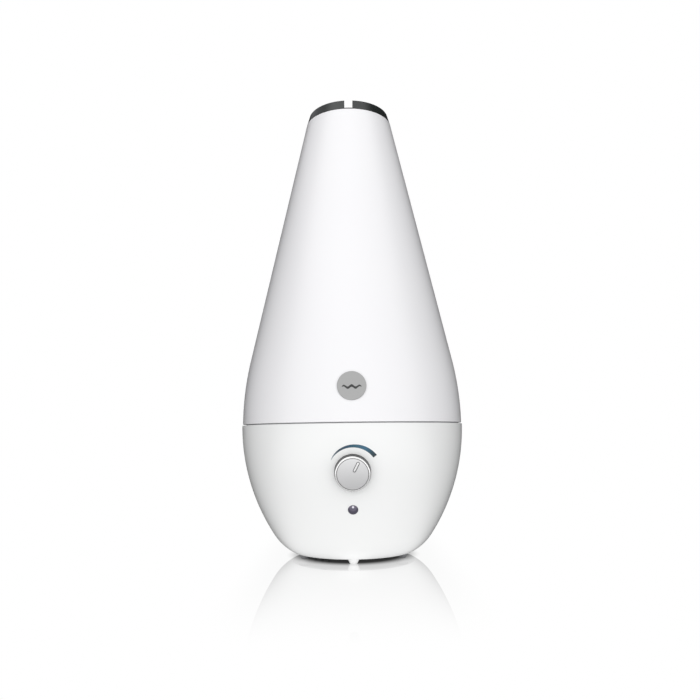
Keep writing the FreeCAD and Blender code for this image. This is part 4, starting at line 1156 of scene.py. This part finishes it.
# painted shadow: the floor's glow goes dark under the base, with a painted bright spot at the
# front foot
lit = tree.node("ShaderNodeMath", {"operation": "MAXIMUM"},
                {0: reach.between(*UNDER_EDGE), 1: to_foot.between(*FOOT_SPOT) * FOOT_LIT})
seen = tree.node("ShaderNodeLightPath", output="Is Camera Ray")
front = 0 - y / reach  # the cosine of the way round: 1 in front, 0 at the sides, -1 behind
pool = (1 - reach.between(*POOL_EDGE)) * front.between(-0.90, 0.30) * NEAR_BOUNCE
glossy = tree.node("ShaderNodeLightPath", output="Is Glossy Ray")
dimmer = 1 - glossy * (GLOSS_DIM - reach.between(*GLOSS_EDGE) * GLOSS_LIFT)
bounce = ((front.between(-0.05, 0.60) * FLOOR_BOUNCE + pool) * reach.between(*BOUNCE_EDGE)
          + to_foot.between(*FOOT_RANGE) * FOOT_BOUNCE) * dimmer + UNDER_GLOW
near = (1 - reach.between(*MIRROR_EDGE)) * (1 - abs(x).between(*MIRROR_SIDES))
# painted shade: a faint contact shade round the base, beside the mirror
shaded = 1 - near * (1 - abs(x).between(*SHADE_SIDES)) * CONTACT_SHADE
shown = (lit * (1 - UNDER_GLOW) + UNDER_GLOW) * shaded
glow = tree.node("ShaderNodeEmission", inputs={
    "Color": (1.0, 1.0, 1.0), "Strength": seen * shown + (1 - seen) * bounce})
mirror = tree.node("ShaderNodeBsdfGlossy", inputs={"Color": (1, 1, 1), "Roughness": 0.0})
surface = tree.node("ShaderNodeMixShader",
                    inputs={0: near * seen * MIRROR_SHARE, 1: glow, 2: mirror})
tree.node("ShaderNodeOutputMaterial", inputs={"Surface": surface})
dress(floor, floor_white)
print("floor laid")

# %% [markdown]
# ## Light
# The sweep is white wherever the camera looks straight at it. What lights the object is a wide
# soft wall of light in front, from side to side, with the sides behind it dark: that is why
# a white object on white still has grey edges. Shiny pieces see a narrower light, so that the
# knob's bevel has a bright top and dark flanks, and the smoked cap shines on one side. Only the
# floor is a perfect mirror, so whatever a perfectly sharp ray meets out there is plain white. A
# lamp behind, kept out of the reflections, lights the back.

# %% World and lamps
SKY_LIGHT = 1.185
SHADE_LIGHT = 0.015
CEILING_LIGHT = 0.20
GLOSS_LIGHT = 0.95
UPPER_SIDE_LIGHT = 0.35
REAR_POWER = 20.0
world = bpy.data.worlds.new("sweep")
bpy.context.scene.world = world
tree = Tree(world)
direction = tree.node("ShaderNodeTexCoord", output="Generated")
x, y, z = tree.axes(direction)
front = 0 - y / (x * x + y * y + 0.0001) ** 0.5
soft_wall = front.between(-0.05, 0.24)
ceiling = z.between(0.45, 0.95)
even = soft_wall * SKY_LIGHT + (1 - soft_wall) * ceiling * CEILING_LIGHT + SHADE_LIGHT
upper_side = z.between(0.50, 0.62) * x.between(0.5, -0.7)
shiny = front.between(-0.05, 0.60) * GLOSS_LIGHT + upper_side * UPPER_SIDE_LIGHT + SHADE_LIGHT
path = tree.node("ShaderNodeLightPath", output="Is Camera Ray")
gloss_path = tree.node("ShaderNodeLightPath", output="Is Glossy Ray")
sharp_path = tree.node("ShaderNodeLightPath", output="Is Singular Ray")
strength = even + (shiny - even) * gloss_path
tint = tree.blend(soft_wall, (0.960, 0.950, 1.0), (1.0, 1.0, 1.0))
soft = tree.node("ShaderNodeBackground", inputs={"Color": tint, "Strength": strength})
plain = tree.node("ShaderNodeBackground", inputs={"Color": (1, 1, 1), "Strength": 1.0})
mixed = tree.node("ShaderNodeMixShader", inputs={0: path + sharp_path, 1: soft, 2: plain})
tree.node("ShaderNodeOutputWorld", inputs={"Surface": mixed})


def lamp(name, at, towards, side, power):
    """A square soft lamp that lights without showing in reflections."""
    data = bpy.data.lights.new(name, "AREA")
    data.shape = "SQUARE"
    data.size = side
    data.energy = power
    made = bpy.data.objects.new(name, data)
    made.location = at
    made.rotation_mode = "QUATERNION"
    made.rotation_quaternion = (Vector(towards) - Vector(at)).to_track_quat("-Z", "Y")
    bpy.context.scene.collection.objects.link(made)
    made.visible_glossy = False
    made.visible_camera = False


lamp("rear_fill", (0, 1.6, 0.5), (0, 0, 0.2), 0.8, REAR_POWER)
print("lights set")
